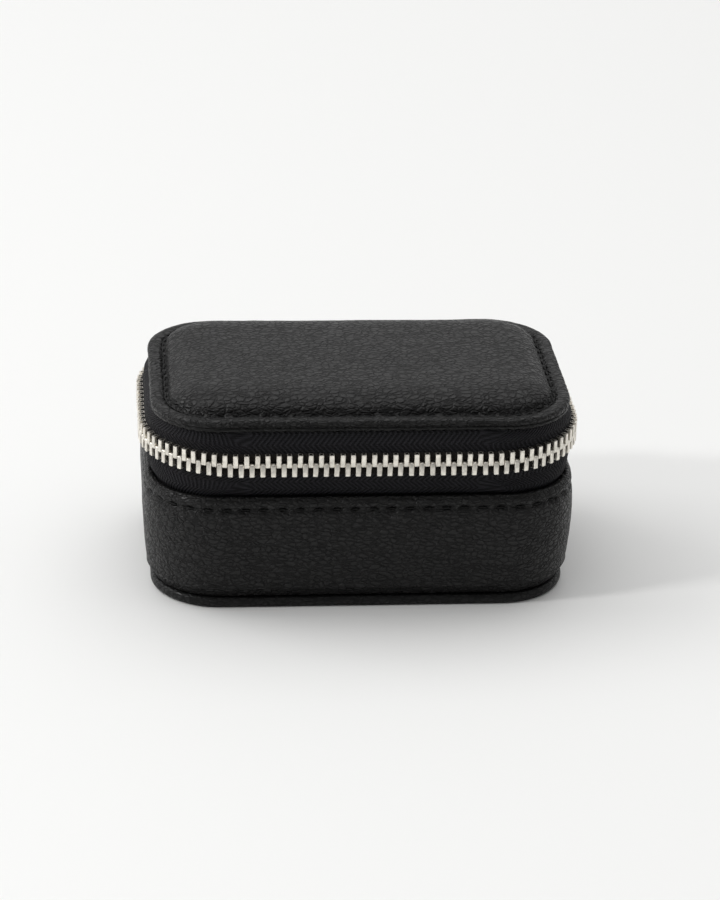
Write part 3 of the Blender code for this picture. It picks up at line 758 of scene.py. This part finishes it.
def tape(name, side, stretch, body, *stands_for):
    line = [Vector(point) for point in tape_line(side)]
    fine = []
    for a, b in zip(line, line[1:]):
        steps = max(1, round((b - a).length / (0.7 * MM)))
        fine += [a.lerp(b, step / steps) for step in range(steps)]
    fine.append(line[-1])
    half = 0.25 * MM
    section = [(p.x + half, p.y) for p in fine] + [(p.x - half, p.y) for p in reversed(fine)]
    bm = sweep(section, softer=ZIP_SOFTER, stretch=stretch, line=ZIP_LINE, step=1.2 * MM)
    flat = bm.loops.layers.uv.new("weave")
    for face in bm.faces:
        places = [(unroll(l.vert.co.x, l.vert.co.y, ZIP_SOFTER, ZIP_LINE)[0], l) for l in face.loops]
        if max(p for p, _ in places) - min(p for p, _ in places) > ZIP_ROUND / 2:
            places = [(p - ZIP_ROUND if p > ZIP_ROUND / 2 else p, l) for p, l in places]
        for along, loop in places:
            loop[flat].uv = (along, loop.vert.co.z - ZIP_Z)
    for vert in bm.verts:
        along = unroll(vert.co.x, vert.co.y, ZIP_SOFTER, ZIP_LINE)[0]
        out = station(along, ZIP_SOFTER, ZIP_LINE)[1]
        vert.co.xy += out * waviness(along, 0, vert.co.z, 9 * MM, side) * 0.12 * MM
    tighten(bm, corner_share)
    return piece(bm, name, tape_cloth, "zip_tape", body, *stands_for)


# The tapes run on a little under the hinge leather, so that no slit opens beside it.
TUCKED = 14.4 * MM
tape("zip_tape_upper", 1, (END + TAIL, ZIP_ROUND - END - TAIL), "lid", "lid_zip_tape")
tape("zip_tape_lower", -1, (TUCKED, ZIP_ROUND - TUCKED), "base", "base_zip_tape")
for name, stretch in (("right", (TUCKED, END + TAIL)),
                      ("left", (ZIP_ROUND - END - TAIL, ZIP_ROUND - TUCKED))):
    loose = tape(f"zip_tape_tail_{name}", 1, stretch, None, f"tape_tail_{name}")
    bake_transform(loose)

# %% [markdown]
# ## The teeth
#
# Each tooth is cast or stamped in white metal and pinched onto the tape's corded edge. Its inner end is
# a rounded head that slides between two teeth of the other row. Its outer end has a small slot where
# the tape goes in. One tooth is modelled from a cube, with its edges bevelled, and is then set at
# every step of the pitch, with a very small tilt that differs from tooth to tooth.

# %% One tooth, and the rows
TOOTH_WIDE = 1.16 * MM
TOOTH_LONG = 3.2 * MM
TOOTH_OUT, TOOTH_IN = 2.78 * MM, 0.75 * MM
HEAD_REACH = 0.55 * MM


def tooth_mesh(slotted):
    """A tooth with its head down at z = 0 and its outer end at z = TOOTH_LONG; x is along the zip."""
    bm = bmesh.new()
    bmesh.ops.create_cube(bm, size=1.0)
    for vert in bm.verts:
        head = vert.co.z < 0
        vert.co.x *= TOOTH_WIDE * (1.03 if head else 0.97)
        vert.co.y = vert.co.y * (TOOTH_OUT - TOOTH_IN) + (TOOTH_OUT + TOOTH_IN) / 2
        vert.co.z = 0.0 if head else TOOTH_LONG
    if slotted:
        top = [face for face in bm.faces if face.normal.z > 0.9]
        bmesh.ops.inset_individual(bm, faces=top, thickness=0.30 * MM)
        for vert in top[0].verts:
            vert.co.y = 1.42 * MM if vert.co.y < 1.7 * MM else 2.36 * MM
        bmesh.ops.inset_individual(bm, faces=top, thickness=0.02 * MM, depth=-0.7 * MM)
    head_edges = [e for e in bm.edges if all(v.co.z < 1e-6 for v in e.verts)]
    bevel(bm, head_edges, 0.36 * MM, 2)
    long_edges = [e for e in bm.edges if abs(e.verts[0].co.z - e.verts[1].co.z) > 1.5 * MM]
    rim = [e for e in bm.edges if all(v.co.z > TOOTH_LONG - 1e-6 for v in e.verts)
           and max(abs(v.co.x) for v in e.verts) > TOOTH_WIDE * 0.49]
    bevel(bm, long_edges + rim, 0.14 * MM, 1)
    bmesh.ops.recalc_face_normals(bm, faces=bm.faces)
    return as_mesh(bm, "tooth_one")


def tooth_row(name, side, numbers, body, *stands_for):
    single = tooth_mesh(slotted=side > 0)
    bm = bmesh.new()
    shake = random.Random(len(name) + side)
    for n in numbers:
        along = END + (n + (0.75 if side > 0 else 0.25)) * PITCH
        centre, outward, ahead = station(along, ZIP_SOFTER, ZIP_LINE)
        tilt = Matrix.Rotation(math.radians(shake.uniform(-2.0, 2.0)), 4, "Y")
        base = Matrix(((*ahead, 0), (*outward, 0), (0, 0, side))).transposed().to_4x4()
        spot = centre + outward * (CORNER + ZIP_SOFTER + shake.uniform(-0.05, 0.05) * MM)
        place = Matrix.Translation((*spot, ZIP_Z - side * HEAD_REACH))
        add_copy(bm, single, place @ base @ tilt)
    print(name, len(single.polygons), "faces in a tooth")
    bpy.data.meshes.remove(single)
    bmesh.ops.recalc_face_normals(bm, faces=bm.faces)
    return piece(bm, name, tooth_metal, "zip_metal", body, *stands_for, smooth=40)


tooth_row("zip_teeth_lower", -1, range(TEETH), "base", "base_zip_chain")
tooth_row("zip_teeth_upper", 1, range(TAIL_TEETH, TEETH - TAIL_TEETH), "lid", "lid_zip_chain")
tooth_row("zip_teeth_tail_right", 1, range(TAIL_TEETH), "base", "chain_tail_right")
tooth_row("zip_teeth_tail_left", 1, range(TEETH - TAIL_TEETH, TEETH), "base", "chain_tail_left")

# %% [markdown]
# ## The cords in the tapes' edges
#
# Each tape ends in a thick cord, and the teeth grip it. Between the teeth the cord shows as a dark
# brownish line, so without it the zip would look like a comb in front of a hole.

# %% Two cords, and the short ones beside the closed tails
def cord(name, side, stretch, body):
    section = []
    for step in range(8):
        turn = step / 8 * 2 * math.pi
        section.append((1.5 * MM + 0.66 * MM * math.cos(turn),
                        ZIP_Z + side * 1.55 * MM + 1.15 * MM * math.sin(turn)))
    piece(sweep(section, softer=ZIP_SOFTER, stretch=stretch, line=ZIP_LINE, step=2 * MM), name, cord_yarn,
          "zip_tape", body)


cord("zip_cord_lower", -1, (END, ZIP_ROUND - END), "base")
cord("zip_cord_upper", 1, (END + TAIL, ZIP_ROUND - END - TAIL), "lid")
cord("zip_cord_tail_right", 1, (END, END + TAIL - 0.3 * MM), "base")
cord("zip_cord_tail_left", 1, (ZIP_ROUND - END - TAIL + 0.3 * MM, ZIP_ROUND - END), "base")


# %% [markdown]
# ## The slider and its pull
#
# The slider is a cast plate with turned sides that hold both rows of teeth, a bail over it, and a ring
# under the bail that carries a small folded leather strap. The plate is wide at the end where the two
# rows part and narrower where they have met. It is an outline that is extruded, and then bevelled.

# %% Helpers: a prism from an outline, and a tube along a line
def prism(outline, depth, place):
    """An outline of (x, y) points extruded by a depth; place turns its three axes into the scene's."""
    bm = bmesh.new()
    face = bm.faces.new([bm.verts.new((x, y, 0)) for x, y in outline])
    made = bmesh.ops.extrude_face_region(bm, geom=[face])["geom"]
    bmesh.ops.translate(bm, vec=(0, 0, depth), verts=[v for v in made if isinstance(v, bmesh.types.BMVert)])
    bmesh.ops.transform(bm, matrix=place, verts=bm.verts)
    bmesh.ops.recalc_face_normals(bm, faces=bm.faces)
    return bm


def round_edges(bm, width):
    edges = [e for e in bm.edges if len(e.link_faces) == 2 and e.calc_face_angle() > math.radians(35)]
    bevel(bm, edges, width, 2)
    return bm


def tube(points, radius, closed=False):
    """A round wire through the points, as a mesh."""
    curve = bpy.data.curves.new("wire", "CURVE")
    curve.dimensions = "3D"
    curve.bevel_depth, curve.bevel_resolution, curve.resolution_u = radius, 4, 6
    curve.use_fill_caps = True
    line = curve.splines.new("NURBS")
    line.points.add(len(points) - 1)
    for spot, point in zip(line.points, points):
        spot.co = (*point, 1)
    line.order_u, line.use_cyclic_u, line.use_endpoint_u = 3, closed, not closed
    maker = bpy.data.objects.new("wire", curve)
    mesh = bpy.data.meshes.new_from_object(maker)
    bm = bmesh.new()
    bm.from_mesh(mesh)
    bpy.data.objects.remove(maker)
    bpy.data.meshes.remove(mesh)
    bpy.data.curves.remove(curve)
    bmesh.ops.remove_doubles(bm, verts=bm.verts, dist=1e-6)
    bmesh.ops.holes_fill(bm, edges=[e for e in bm.edges if e.is_boundary], sides=0)
    bmesh.ops.recalc_face_normals(bm, faces=bm.faces)
    return bm


def joined(*parts):
    """Several meshes as one."""
    whole = bmesh.new()
    for part in parts:
        mesh = as_mesh(part, "part")
        whole.from_mesh(mesh)
        bpy.data.meshes.remove(mesh)
    return whole


# %% The slider's front plate, its turned sides and its back plate
plate_low, plate_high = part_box("slider_body")
back_low, back_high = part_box("slider_back_plate")
bail_low, bail_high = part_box("slider_bail")
slider_x = (plate_low.x + plate_high.x) / 2
PLATE_FACE = plate_high.y - 1.1 * MM
# An outline's x stays x, its y becomes the height, and its depth goes outwards from the case.
UPRIGHT = Matrix(((1, 0, 0, 0), (0, 0, 1, 0), (0, 1, 0, 0), (0, 0, 0, 1)))


def slider_outline(half_length, half_height, waist):
    """Round at both ends, wide towards the parted teeth and waisted towards the joined ones."""
    outline = []
    for step in range(36):
        turn = 2 * math.pi * step / 36
        c, s = math.cos(turn), math.sin(turn)
        x = math.copysign(abs(c) ** 0.45, c) * half_length
        taper = 1 - waist * max(0.0, x / half_length) ** 1.5
        outline.append((x, math.copysign(abs(s) ** 0.5, s) * half_height * taper))
    return outline


half_length, half_height = (plate_high.x - plate_low.x) / 2, (plate_high.z - plate_low.z) / 2
at = Matrix.Translation((slider_x, PLATE_FACE, ZIP_Z))
front = round_edges(prism(slider_outline(half_length, half_height, 0.22), 1.1 * MM, at @ UPRIGHT), 0.3 * MM)
sides = []
for side in (-1, 1):
    rim = [(-half_length * 0.86, side * half_height * 0.97), (half_length * 0.2, side * half_height * 0.97),
           (half_length * 0.8, side * half_height * 0.84), (half_length * 0.8, side * half_height * 0.66),
           (half_length * 0.1, side * half_height * 0.77), (-half_length * 0.86, side * half_height * 0.77)]
    lower = Matrix.Translation((slider_x, plate_low.y, ZIP_Z))
    sides.append(round_edges(prism(rim, PLATE_FACE - plate_low.y + 0.3 * MM, lower @ UPRIGHT), 0.15 * MM))
piece(joined(front, *sides), "slider_front", slider_metal, "slider_metal", "zip_slider", "slider_body",
      smooth=35)

back_size = back_high - back_low
at = Matrix.Translation(((back_low.x + back_high.x) / 2, back_low.y, ZIP_Z))
back = prism(slider_outline(back_size.x / 2, back_size.z / 2, 0.2), back_size.y, at @ UPRIGHT)
piece(round_edges(back, 0.15 * MM), "slider_back", slider_metal, "slider_metal", "zip_slider",
      "slider_back_plate", smooth=35)

# %% The bail, and the ring under it
arch = []
for step in range(15):
    turn = math.pi * step / 14
    reach = (bail_high.x - bail_low.x) / 2 - 0.65 * MM
    rise = bail_high.y - plate_high.y - 0.6 * MM
    y = plate_high.y - 0.1 * MM + rise * math.sin(turn) ** 0.55
    arch.append((slider_x - reach * math.cos(turn), y, ZIP_Z))
piece(tube(arch, 0.62 * MM), "slider_bail_wire", slider_metal, "slider_metal", "zip_slider", "slider_bail")

ring_low, ring_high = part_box("pull_ring")
pull_y = (ring_low.y + ring_high.y) / 2
near, far = 1.7 * MM, (ring_high.z - ring_low.z) / 2 - 0.6 * MM
bar_x = ring_low.x + 0.6 * MM
loop = []
for share in (0.0, 0.06, 0.3, 0.6, 0.9, 1.0):
    width = near + (far - near) * share
    tucked = 0.7 if share in (0.0, 1.0) else 1.0
    loop.append((slider_x - (slider_x - bar_x) * share, pull_y, ZIP_Z + width * tucked))
loop += [(x, y, 2 * ZIP_Z - z) for x, y, z in reversed(loop)]
piece(tube(loop, 0.58 * MM, closed=True), "pull_wire_ring", slider_metal, "slider_metal", "zip_pull",
      "pull_ring")

# %% The strap on the ring: one strip of leather folded round the ring's bar and sewn
strap_low, strap_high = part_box("pull_strap")
leaf = 0.46 * MM
bend = 1.12 * MM
path = [(strap_low.x + share * (bar_x - 2.6 * MM - strap_low.x), -leaf - 0.06 * MM)
        for share in (0.0, 0.1, 0.25, 0.4, 0.55, 0.7, 0.85, 1.0)]
for step in range(11):
    turn = math.radians(-130 + 26 * step)
    path.append((bar_x + bend * math.cos(turn), bend * math.sin(turn)))
path += [(x, -y) for x, y in reversed(path[:8])]
strap = bmesh.new()
half_strap = (strap_high.z - strap_low.z) / 2
spots = [strap.verts.new((x, pull_y + y, ZIP_Z - half_strap)) for x, y in path]
strip_edges = [strap.edges.new(pair) for pair in zip(spots, spots[1:])]
for _ in range(8):
    strip_edges = carry(strap, strip_edges, (0, 0, half_strap / 4))
for vert in strap.verts:
    over = (vert.co.z - ZIP_Z) / half_strap
    if vert.co.x < strap_low.x + 3 * MM:
        vert.co.x += (1 - math.sqrt(max(0.0, 1 - over * over * 0.92))) * 1.9 * MM
    vert.co.y += waviness(*vert.co, 5 * MM, 3.0) * 0.06 * MM
bmesh.ops.recalc_face_normals(strap, faces=strap.faces)
bmesh.ops.solidify(strap, geom=strap.faces[:], thickness=leaf * 1.9)
bmesh.ops.recalc_face_normals(strap, faces=strap.faces)
middle_y = sum(v.co.y for v in strap.verts) / len(strap.verts)
bmesh.ops.translate(strap, vec=(0, pull_y - middle_y, 0), verts=strap.verts)
piece(round_edges(strap, 0.12 * MM), "pull_folded_strap", band_leather, "leather", "zip_pull", "pull_strap")


STRAP_ROW = 12 * MM


def on_the_strap(along):
    """Two rows: up one side of the strap and down the other."""
    side = 1 if along < STRAP_ROW else -1
    run = along if along < STRAP_ROW else 2 * STRAP_ROW - along
    spot = Vector((bar_x - 4.2 * MM - run, pull_y + leaf * 2.0, ZIP_Z + side * 1.55 * MM))
    return spot, Vector((1, 0, 0)), Vector((0, 1, 0))


stitch_row("strap_stitches", 14, 0.16 * MM, 0.66, on_the_strap, "zip_pull", whole=2 * STRAP_ROW)

# %% [markdown]
# ## The leather hinge at the rear
#
# The zip does not go all the way round. Across the middle of the rear a piece of leather joins the lid
# and the base, and it bends when the lid opens. It stands out over the zip's ends, and its sides are
# turned in.

# %% Model the hinge leather
hinge_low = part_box("hinge_leather")[0]
HINGE_HALF = 15.7 * MM
HINGE_STEPS = 44
hinge_line = [
    (-1.5 * MM, hinge_low.z + 0.3 * MM), (-1.45 * MM, BAND_TOP - 0.2 * MM), (0.3 * MM, BAND_TOP + 1.5 * MM),
    (1.9 * MM, ZIP_Z - 4.4 * MM), (2.25 * MM, ZIP_Z - 1.5 * MM), (2.25 * MM, ZIP_Z + 1.5 * MM),
    (1.9 * MM, ZIP_Z + 4.2 * MM), (0.8 * MM, lip_low.z - 1.6 * MM), (-0.9 * MM, lip_low.z - 0.75 * MM),
]
smooth_line = []
for a, b in zip(hinge_line, hinge_line[1:]):
    smooth_line += [Vector(a).lerp(Vector(b), step / 8) for step in range(8)]
smooth_line.append(Vector(hinge_line[-1]))
for _ in range(10):
    threes = zip(smooth_line, smooth_line[1:], smooth_line[2:])
    smooth_line[1:-1] = [(a + 2 * b + c) / 4 for a, b, c in threes]
hinge = bmesh.new()
spots = [hinge.verts.new((-HINGE_HALF, HALF_DEPTH + p.x, p.y)) for p in smooth_line]
strip_edges = [hinge.edges.new(pair) for pair in zip(spots, spots[1:])]
for _ in range(HINGE_STEPS):
    strip_edges = carry(hinge, strip_edges, (2 * HINGE_HALF / HINGE_STEPS, 0, 0))
bmesh.ops.recalc_face_normals(hinge, faces=hinge.faces)
for vert in hinge.verts:
    x, y, z = vert.co
    from_side = HINGE_HALF - abs(x)
    vert.co.y -= 0.30 * MM * bell(from_side, 0.7 * MM) + bell(from_side - 2.1 * MM, 0.4 * MM) * 0.16 * MM
    vert.co.y += waviness(x, 0, z, 4.5 * MM, 2.0) * 0.16 * MM - bell(z - ZIP_Z, 0.5 * MM) * 0.16 * MM
bmesh.ops.solidify(hinge, geom=hinge.faces[:], thickness=0.85 * MM)
bmesh.ops.recalc_face_normals(hinge, faces=hinge.faces)
hinge_piece = piece(hinge, "rear_hinge_leather", band_leather, "leather", None, "hinge_leather")
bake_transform(hinge_piece)

# %% [markdown]
# ## Inside: walls, floor and dividers covered in velvet
#
# The walls inside are board wrapped in black velvet, so their top edges are round and soft. The same
# wrapped wall lines the lid. The floor is a velvet-covered board, and the right half has two dividers.

# %% The wrapped walls and the floor
wall_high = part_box("base_wall_board")[1]
WALL_OUT = wall_high.x - HALF_WIDTH
WALL_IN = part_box("lid_lining_pad")[1].x - HALF_WIDTH + 0.25 * MM


def wrapped_wall(low, high, round_top):
    """A wall's section: flat sides, and a round edge at the top or, for the lid, at the bottom."""
    radius = (WALL_OUT - WALL_IN) / 2
    middle = (WALL_OUT + WALL_IN) / 2
    edge, root = (high - radius, low) if round_top else (low + radius, high)
    way = 1 if round_top else -1
    points = [(WALL_OUT, root)] + [(WALL_OUT, root + (edge - root) * s / 4) for s in (1, 2, 3)]
    for step in range(9):
        turn = math.pi * step / 8
        points.append((middle + radius * math.cos(turn), edge + way * radius * math.sin(turn)))
    points += [(WALL_IN, root + (edge - root) * s / 10) for s in range(9, 0, -1)] + [(WALL_IN, root)]
    return points


for name, low, high, up, body, stands in (
        ("base_velvet_wall", 4.8 * MM, wall_high.z, True, "base", ("base_wall_board", "base_wall_lining")),
        ("lid_velvet_wall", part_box("lid_wall_board")[0].z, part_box("lid_wall_board")[1].z, False, "lid",
         ("lid_wall_board", "lid_wall_lining"))):
    wall = sweep(wrapped_wall(low, high, up), step=1.2 * MM)
    for vert in wall.verts:
        out = Vector((vert.co.x, vert.co.y)).normalized()
        vert.co.xy += out * waviness(*vert.co, 6 * MM, 4.0) * 0.07 * MM
    piece(wall, name, pile, "lining", body, *stands)

floor_low, floor_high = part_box("base_floor_lining")
edge = floor_high.x - HALF_WIDTH
floor_lining = sweep([(edge, floor_low.z), (edge, floor_high.z - 0.2 * MM), (edge - 0.2 * MM, floor_high.z)],
                     closed=False, fill=True, step=2 * MM)
piece(floor_lining, "velvet_floor", pile, "lining", "base", "base_floor_lining")


# %% The dividers and the bed under the ring rolls
def soft_box(low, high, radius, cuts, ripple, seed):
    """A box with round edges and slightly uneven faces, for board that is wrapped in cloth."""
    bm = bmesh.new()
    bmesh.ops.create_cube(bm, size=1.0)
    for vert in bm.verts:
        vert.co = Vector([low[i] + (vert.co[i] + 0.5) * (high[i] - low[i]) for i in range(3)])
    bevel(bm, bm.edges[:], radius, 4)
    long = [e for e in bm.edges if e.calc_length() > 4 * radius]
    bmesh.ops.subdivide_edges(bm, edges=long, cuts=cuts, use_grid_fill=True)
    bmesh.ops.recalc_face_normals(bm, faces=bm.faces)
    bm.normal_update()
    for vert in bm.verts:
        vert.co += vert.normal * (waviness(*vert.co, 7 * MM, seed) * ripple - ripple)
    return bm


for name, seed in (("divider_long", 1.0), ("divider_cross", 2.0), ("ring_bed", 3.0)):
    low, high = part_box(name)
    thick = min(high[i] - low[i] for i in range(3))
    piece(soft_box(low, high, min(0.45 * thick, 0.75 * MM), 7, 0.05 * MM, seed), f"velvet_{name}", pile,
          "lining", "base", name)

# %% [markdown]
# ## Stuffed pieces
#
# The rolls that hold rings are foam in velvet. Cloth takes its shape from what is inside it, so they
# are inflated as cloth. A cloth simulation does not work at a few millimetres, so each roll is
# simulated ten times larger and then brought back. The wadded panel in the lid is so thin and flat
# that a swept section with a soft edge is enough for it.

# %% Inflate a box of cloth, at ten times the size
GROW = 10.0


def stuffed(low, high, corner, cuts, pressure, reach, seed):
    """A box with round corners, inflated as cloth; no point moves farther than reach."""
    middle = (low + high) / 2
    bm = bmesh.new()
    bmesh.ops.create_cube(bm, size=1.0)
    for vert in bm.verts:
        vert.co = Vector([vert.co[i] * (high[i] - low[i]) * GROW for i in range(3)])
    bevel(bm, bm.edges[:], corner * GROW, 3)
    for axis, count in enumerate(cuts):
        along = [e for e in bm.edges
                 if abs((e.verts[0].co - e.verts[1].co)[axis]) > (high[axis] - low[axis]) * GROW * 0.4]
        bmesh.ops.subdivide_edges(bm, edges=along, cuts=count, use_grid_fill=True)
    bmesh.ops.recalc_face_normals(bm, faces=bm.faces)
    for vert in bm.verts:
        vert.co += vert.normal * waviness(*vert.co, 70 * MM, seed) * 3 * MM
    start = [vert.co.copy() for vert in bm.verts]
    mesh = as_mesh(bm, "stuffing")
    cover = bpy.data.objects.new("stuffing", mesh)
    bpy.context.scene.collection.objects.link(cover)
    cloth = cover.modifiers.new("cloth", "CLOTH")
    settings = cloth.settings
    settings.use_pressure, settings.uniform_pressure_force = True, pressure
    settings.effector_weights.gravity = 0.0
    settings.tension_stiffness = settings.compression_stiffness = 15.0
    settings.shear_stiffness, settings.bending_stiffness = 5.0, 0.6
    settings.quality = 6
    cloth.point_cache.frame_start, cloth.point_cache.frame_end = 1, 20
    for step in range(1, 21):
        bpy.context.scene.frame_set(step)
    inflated = bpy.data.meshes.new_from_object(cover.evaluated_get(bpy.context.evaluated_depsgraph_get()))
    bpy.context.scene.frame_set(1)
    bpy.data.objects.remove(cover)
    bpy.data.meshes.remove(mesh)
    mesh = inflated
    bm = bmesh.new()
    bm.from_mesh(mesh)
    bpy.data.meshes.remove(mesh)
    for vert, first in zip(bm.verts, start):
        moved = vert.co - first
        if moved.length > reach * GROW:
            moved *= reach * GROW / moved.length
        vert.co = (first + moved) / GROW + middle
    bmesh.ops.recalc_face_normals(bm, faces=bm.faces)
    return bm


for number in range(1, 5):
    low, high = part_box(f"ring_roll_{number}")
    inset = Vector((0.5, 0.4, 0.5)) * MM
    roll = stuffed(low + inset, high - inset, 3.6 * MM, (2, 24, 5), 4.0, 0.7 * MM, number * 3.1)
    made = piece(roll, f"stuffed_ring_roll_{number}", pile, "lining", "base", f"ring_roll_{number}")
    finer = made.modifiers.new("finer", "SUBSURF")
    finer.levels = finer.render_levels = 1

pad_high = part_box("lid_lining_pad")[1]
pad = sweep([(pad_high.x - HALF_WIDTH, pad_high.z)] +
            [(pad_high.x - HALF_WIDTH - 0.5 * MM * (1 - math.cos(math.radians(a))),
              pad_high.z - 0.9 * MM * math.sin(math.radians(a))) for a in (20, 45, 70, 90)] +
            [(pad_high.x - HALF_WIDTH - out * MM, pad_high.z - (0.9 + 0.45 * (1 - math.exp(-out / 2.5))) * MM)
             for out in (1, 2, 3, 4.5, 6, 8)],
            closed=False, fill=True, step=1.5 * MM)
for vert in pad.verts:
    vert.co.z += waviness(*vert.co, 9 * MM, 6.0) * 0.06 * MM
panel = piece(pad, "lid_wadded_panel", pile, "lining", "lid", "lid_lining_pad")

# %% [markdown]
# ## The pocket in the lid
#
# The pocket is a strip of cloth about a sixth longer than the place it covers. It is gathered along
# its mouth by elastic, and its folds fade towards the seam at the back. The cloth is a grid, and the
# folds are waves whose height falls towards the seam, with a little noise so that no two are alike.

# %% Gather the pocket, and put elastic along its mouth
pocket_low, pocket_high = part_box("lid_pocket")
elastic_low, elastic_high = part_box("pocket_elastic")
wide, deep = pocket_high.x - pocket_low.x, pocket_high.y - pocket_low.y
pocket = bmesh.new()
bmesh.ops.create_grid(pocket, x_segments=150, y_segments=30, size=0.5)
FOLDS = 23
for vert in pocket.verts:
    across, back = vert.co.x + 0.5, vert.co.y + 0.5
    drift = noise.noise(Vector((across * 9, back * 2.5, 1.0))) * 0.5
    fade = 0.28 + 0.72 * (1 - back) ** 1.4
    ends = min(1.0, min(across, 1 - across) * 14, (1 - back) * 9 + 0.15)
    wave = math.sin(2 * math.pi * (across * FOLDS + drift)) * 0.62 * MM * fade * ends
    sag = 0.35 * MM * math.sin(math.pi * back) * math.sin(math.pi * across)
    vert.co = (pocket_low.x + across * wide, pocket_low.y + back * deep,
               pocket_high.z - 0.75 * MM - sag + wave)
cloth_area = sum(face.calc_area() for face in pocket.faces)
pouch = piece(pocket, "lid_gathered_pocket", pile, "lining", "lid", "lid_pocket", smooth=180)

mouth = []
for step in range(70):
    x = elastic_low.x + 1 * MM + (elastic_high.x - elastic_low.x - 2 * MM) * step / 69
    mouth.append((x, pocket_low.y - 0.6 * MM, (elastic_low.z + elastic_high.z) / 2
                  + math.sin(2 * math.pi * FOLDS * step / 69) * 0.12 * MM))
piece(tube(mouth, 0.72 * MM), "lid_pocket_elastic", elastic_cloth, "elastic", "lid", "pocket_elastic")

# %% [markdown]
# ## Board and foam
#
# The layers between the leather and the velvet keep their CAD shapes. They hardly show, at the bottom
# of a gap or with the lid open, so they only need the right stuff: grey board and dark foam.

# %% Finish the layers that stay
for name in ("base_board", "lid_board"):
    frame["nodes"][name].data.materials.clear()
    frame["nodes"][name].data.materials.append(board_grey)
for name in ("base_wall_foam", "lid_foam"):
    frame["nodes"][name].data.materials.clear()
    frame["nodes"][name].data.materials.append(foam_grey)

# %% [markdown]
# ## The table, the light and the camera
#
# The case stands on a plain pale table in soft light, from a wide ceiling and a window behind and
# to the left, so the lid's top is lighter at the back, the front is dark, and a faint shadow falls
# to the right. The camera looks slightly down from the front, from as far as a portrait lens needs.

# %% Table and light
table = bmesh.new()
bmesh.ops.create_grid(table, x_segments=8, y_segments=8, size=3.0)
bmesh.ops.translate(table, vec=(0, 1.0, -0.05 * MM), verts=table.verts)
paper, tree, shader = new_material("pale_paper", (0.86, 0.86, 0.85), 0.7)
relief(tree, shader, speckle(tree, object_place(tree), 900.0, 3.0), 0.15, 0.03 * MM)
mesh = as_mesh(table, "table")
mesh.materials.append(paper)
table = bpy.data.objects.new("table", mesh)
bpy.context.scene.collection.objects.link(table)

world = bpy.data.worlds.new("room")
bpy.context.scene.world = world
world.use_nodes = True
tree = world.node_tree
place = node(tree, "ShaderNodeTexCoord").outputs["Generated"]
parts = node(tree, "ShaderNodeSeparateXYZ", {}, {"Vector": place})
rear_and_up = math_node(tree, "MULTIPLY_ADD", parts.outputs["Y"], 0.35, 0.35)
share = math_node(tree, "MULTIPLY_ADD", parts.outputs["Z"], 0.45, rear_and_up)
SKY = ((0.0, 0.09), (0.4, 0.24), (0.62, 0.70), (1.0, 0.8))
sky = ramp(tree, share, [(position, (grey, grey, grey)) for position, grey in SKY])
background = tree.nodes["Background"]
tree.links.new(sky, background.inputs["Color"])
background.inputs["Strength"].default_value = 0.86


def soft_light(name, place, towards, size, energy):
    data = bpy.data.lights.new(name, "AREA")
    data.shape, data.size, data.size_y = "RECTANGLE", *size
    data.energy = energy
    made = bpy.data.objects.new(name, data)
    bpy.context.scene.collection.objects.link(made)
    made.location = place
    made.rotation_euler = (Vector(towards) - Vector(place)).to_track_quat("-Z", "Y").to_euler()


soft_light("window", (-2.2, 0.9, 2.0), (0, 0, 0.02), (1.8, 1.6), 25.0)
soft_light("ceiling", (0.0, 0.9, 2.9), (0, 0.1, 0.02), (3.8, 3.2), 37.0)
soft_light("left_fill", (-1.1, -0.32, 0.85), (0, 0, 0.03), (0.16, 0.16), 5.2)

# %% The camera
LOOK = Vector((0, 0, 22 * MM))
DISTANCE = 0.7717
TURN, RISE, ROLL = math.radians(-5.18), math.radians(24.2), math.radians(1.55)
back = Vector((math.sin(TURN) * math.cos(RISE), -math.cos(TURN) * math.cos(RISE), math.sin(RISE)))
right = Vector((math.cos(TURN), math.sin(TURN), 0))
up = back.cross(right)
aim = LOOK + right * 1.6 * MM + up * 4.07 * MM
spot = LOOK + back * DISTANCE
data = bpy.data.cameras.new("camera")
data.lens = 125.76
data.clip_start = 0.01
camera = bpy.data.objects.new("camera", data)
bpy.context.scene.collection.objects.link(camera)
forward = (aim - spot).normalized()
side = forward.cross(Vector((0, 0, 1))).normalized()
axes = Matrix((side, side.cross(forward), -forward)).transposed()
camera.matrix_world = Matrix.Translation(spot) @ (axes @ Matrix.Rotation(ROLL, 3, "Z")).to_4x4()
bpy.context.scene.camera = camera
bpy.context.scene.view_settings.view_transform = "Standard"
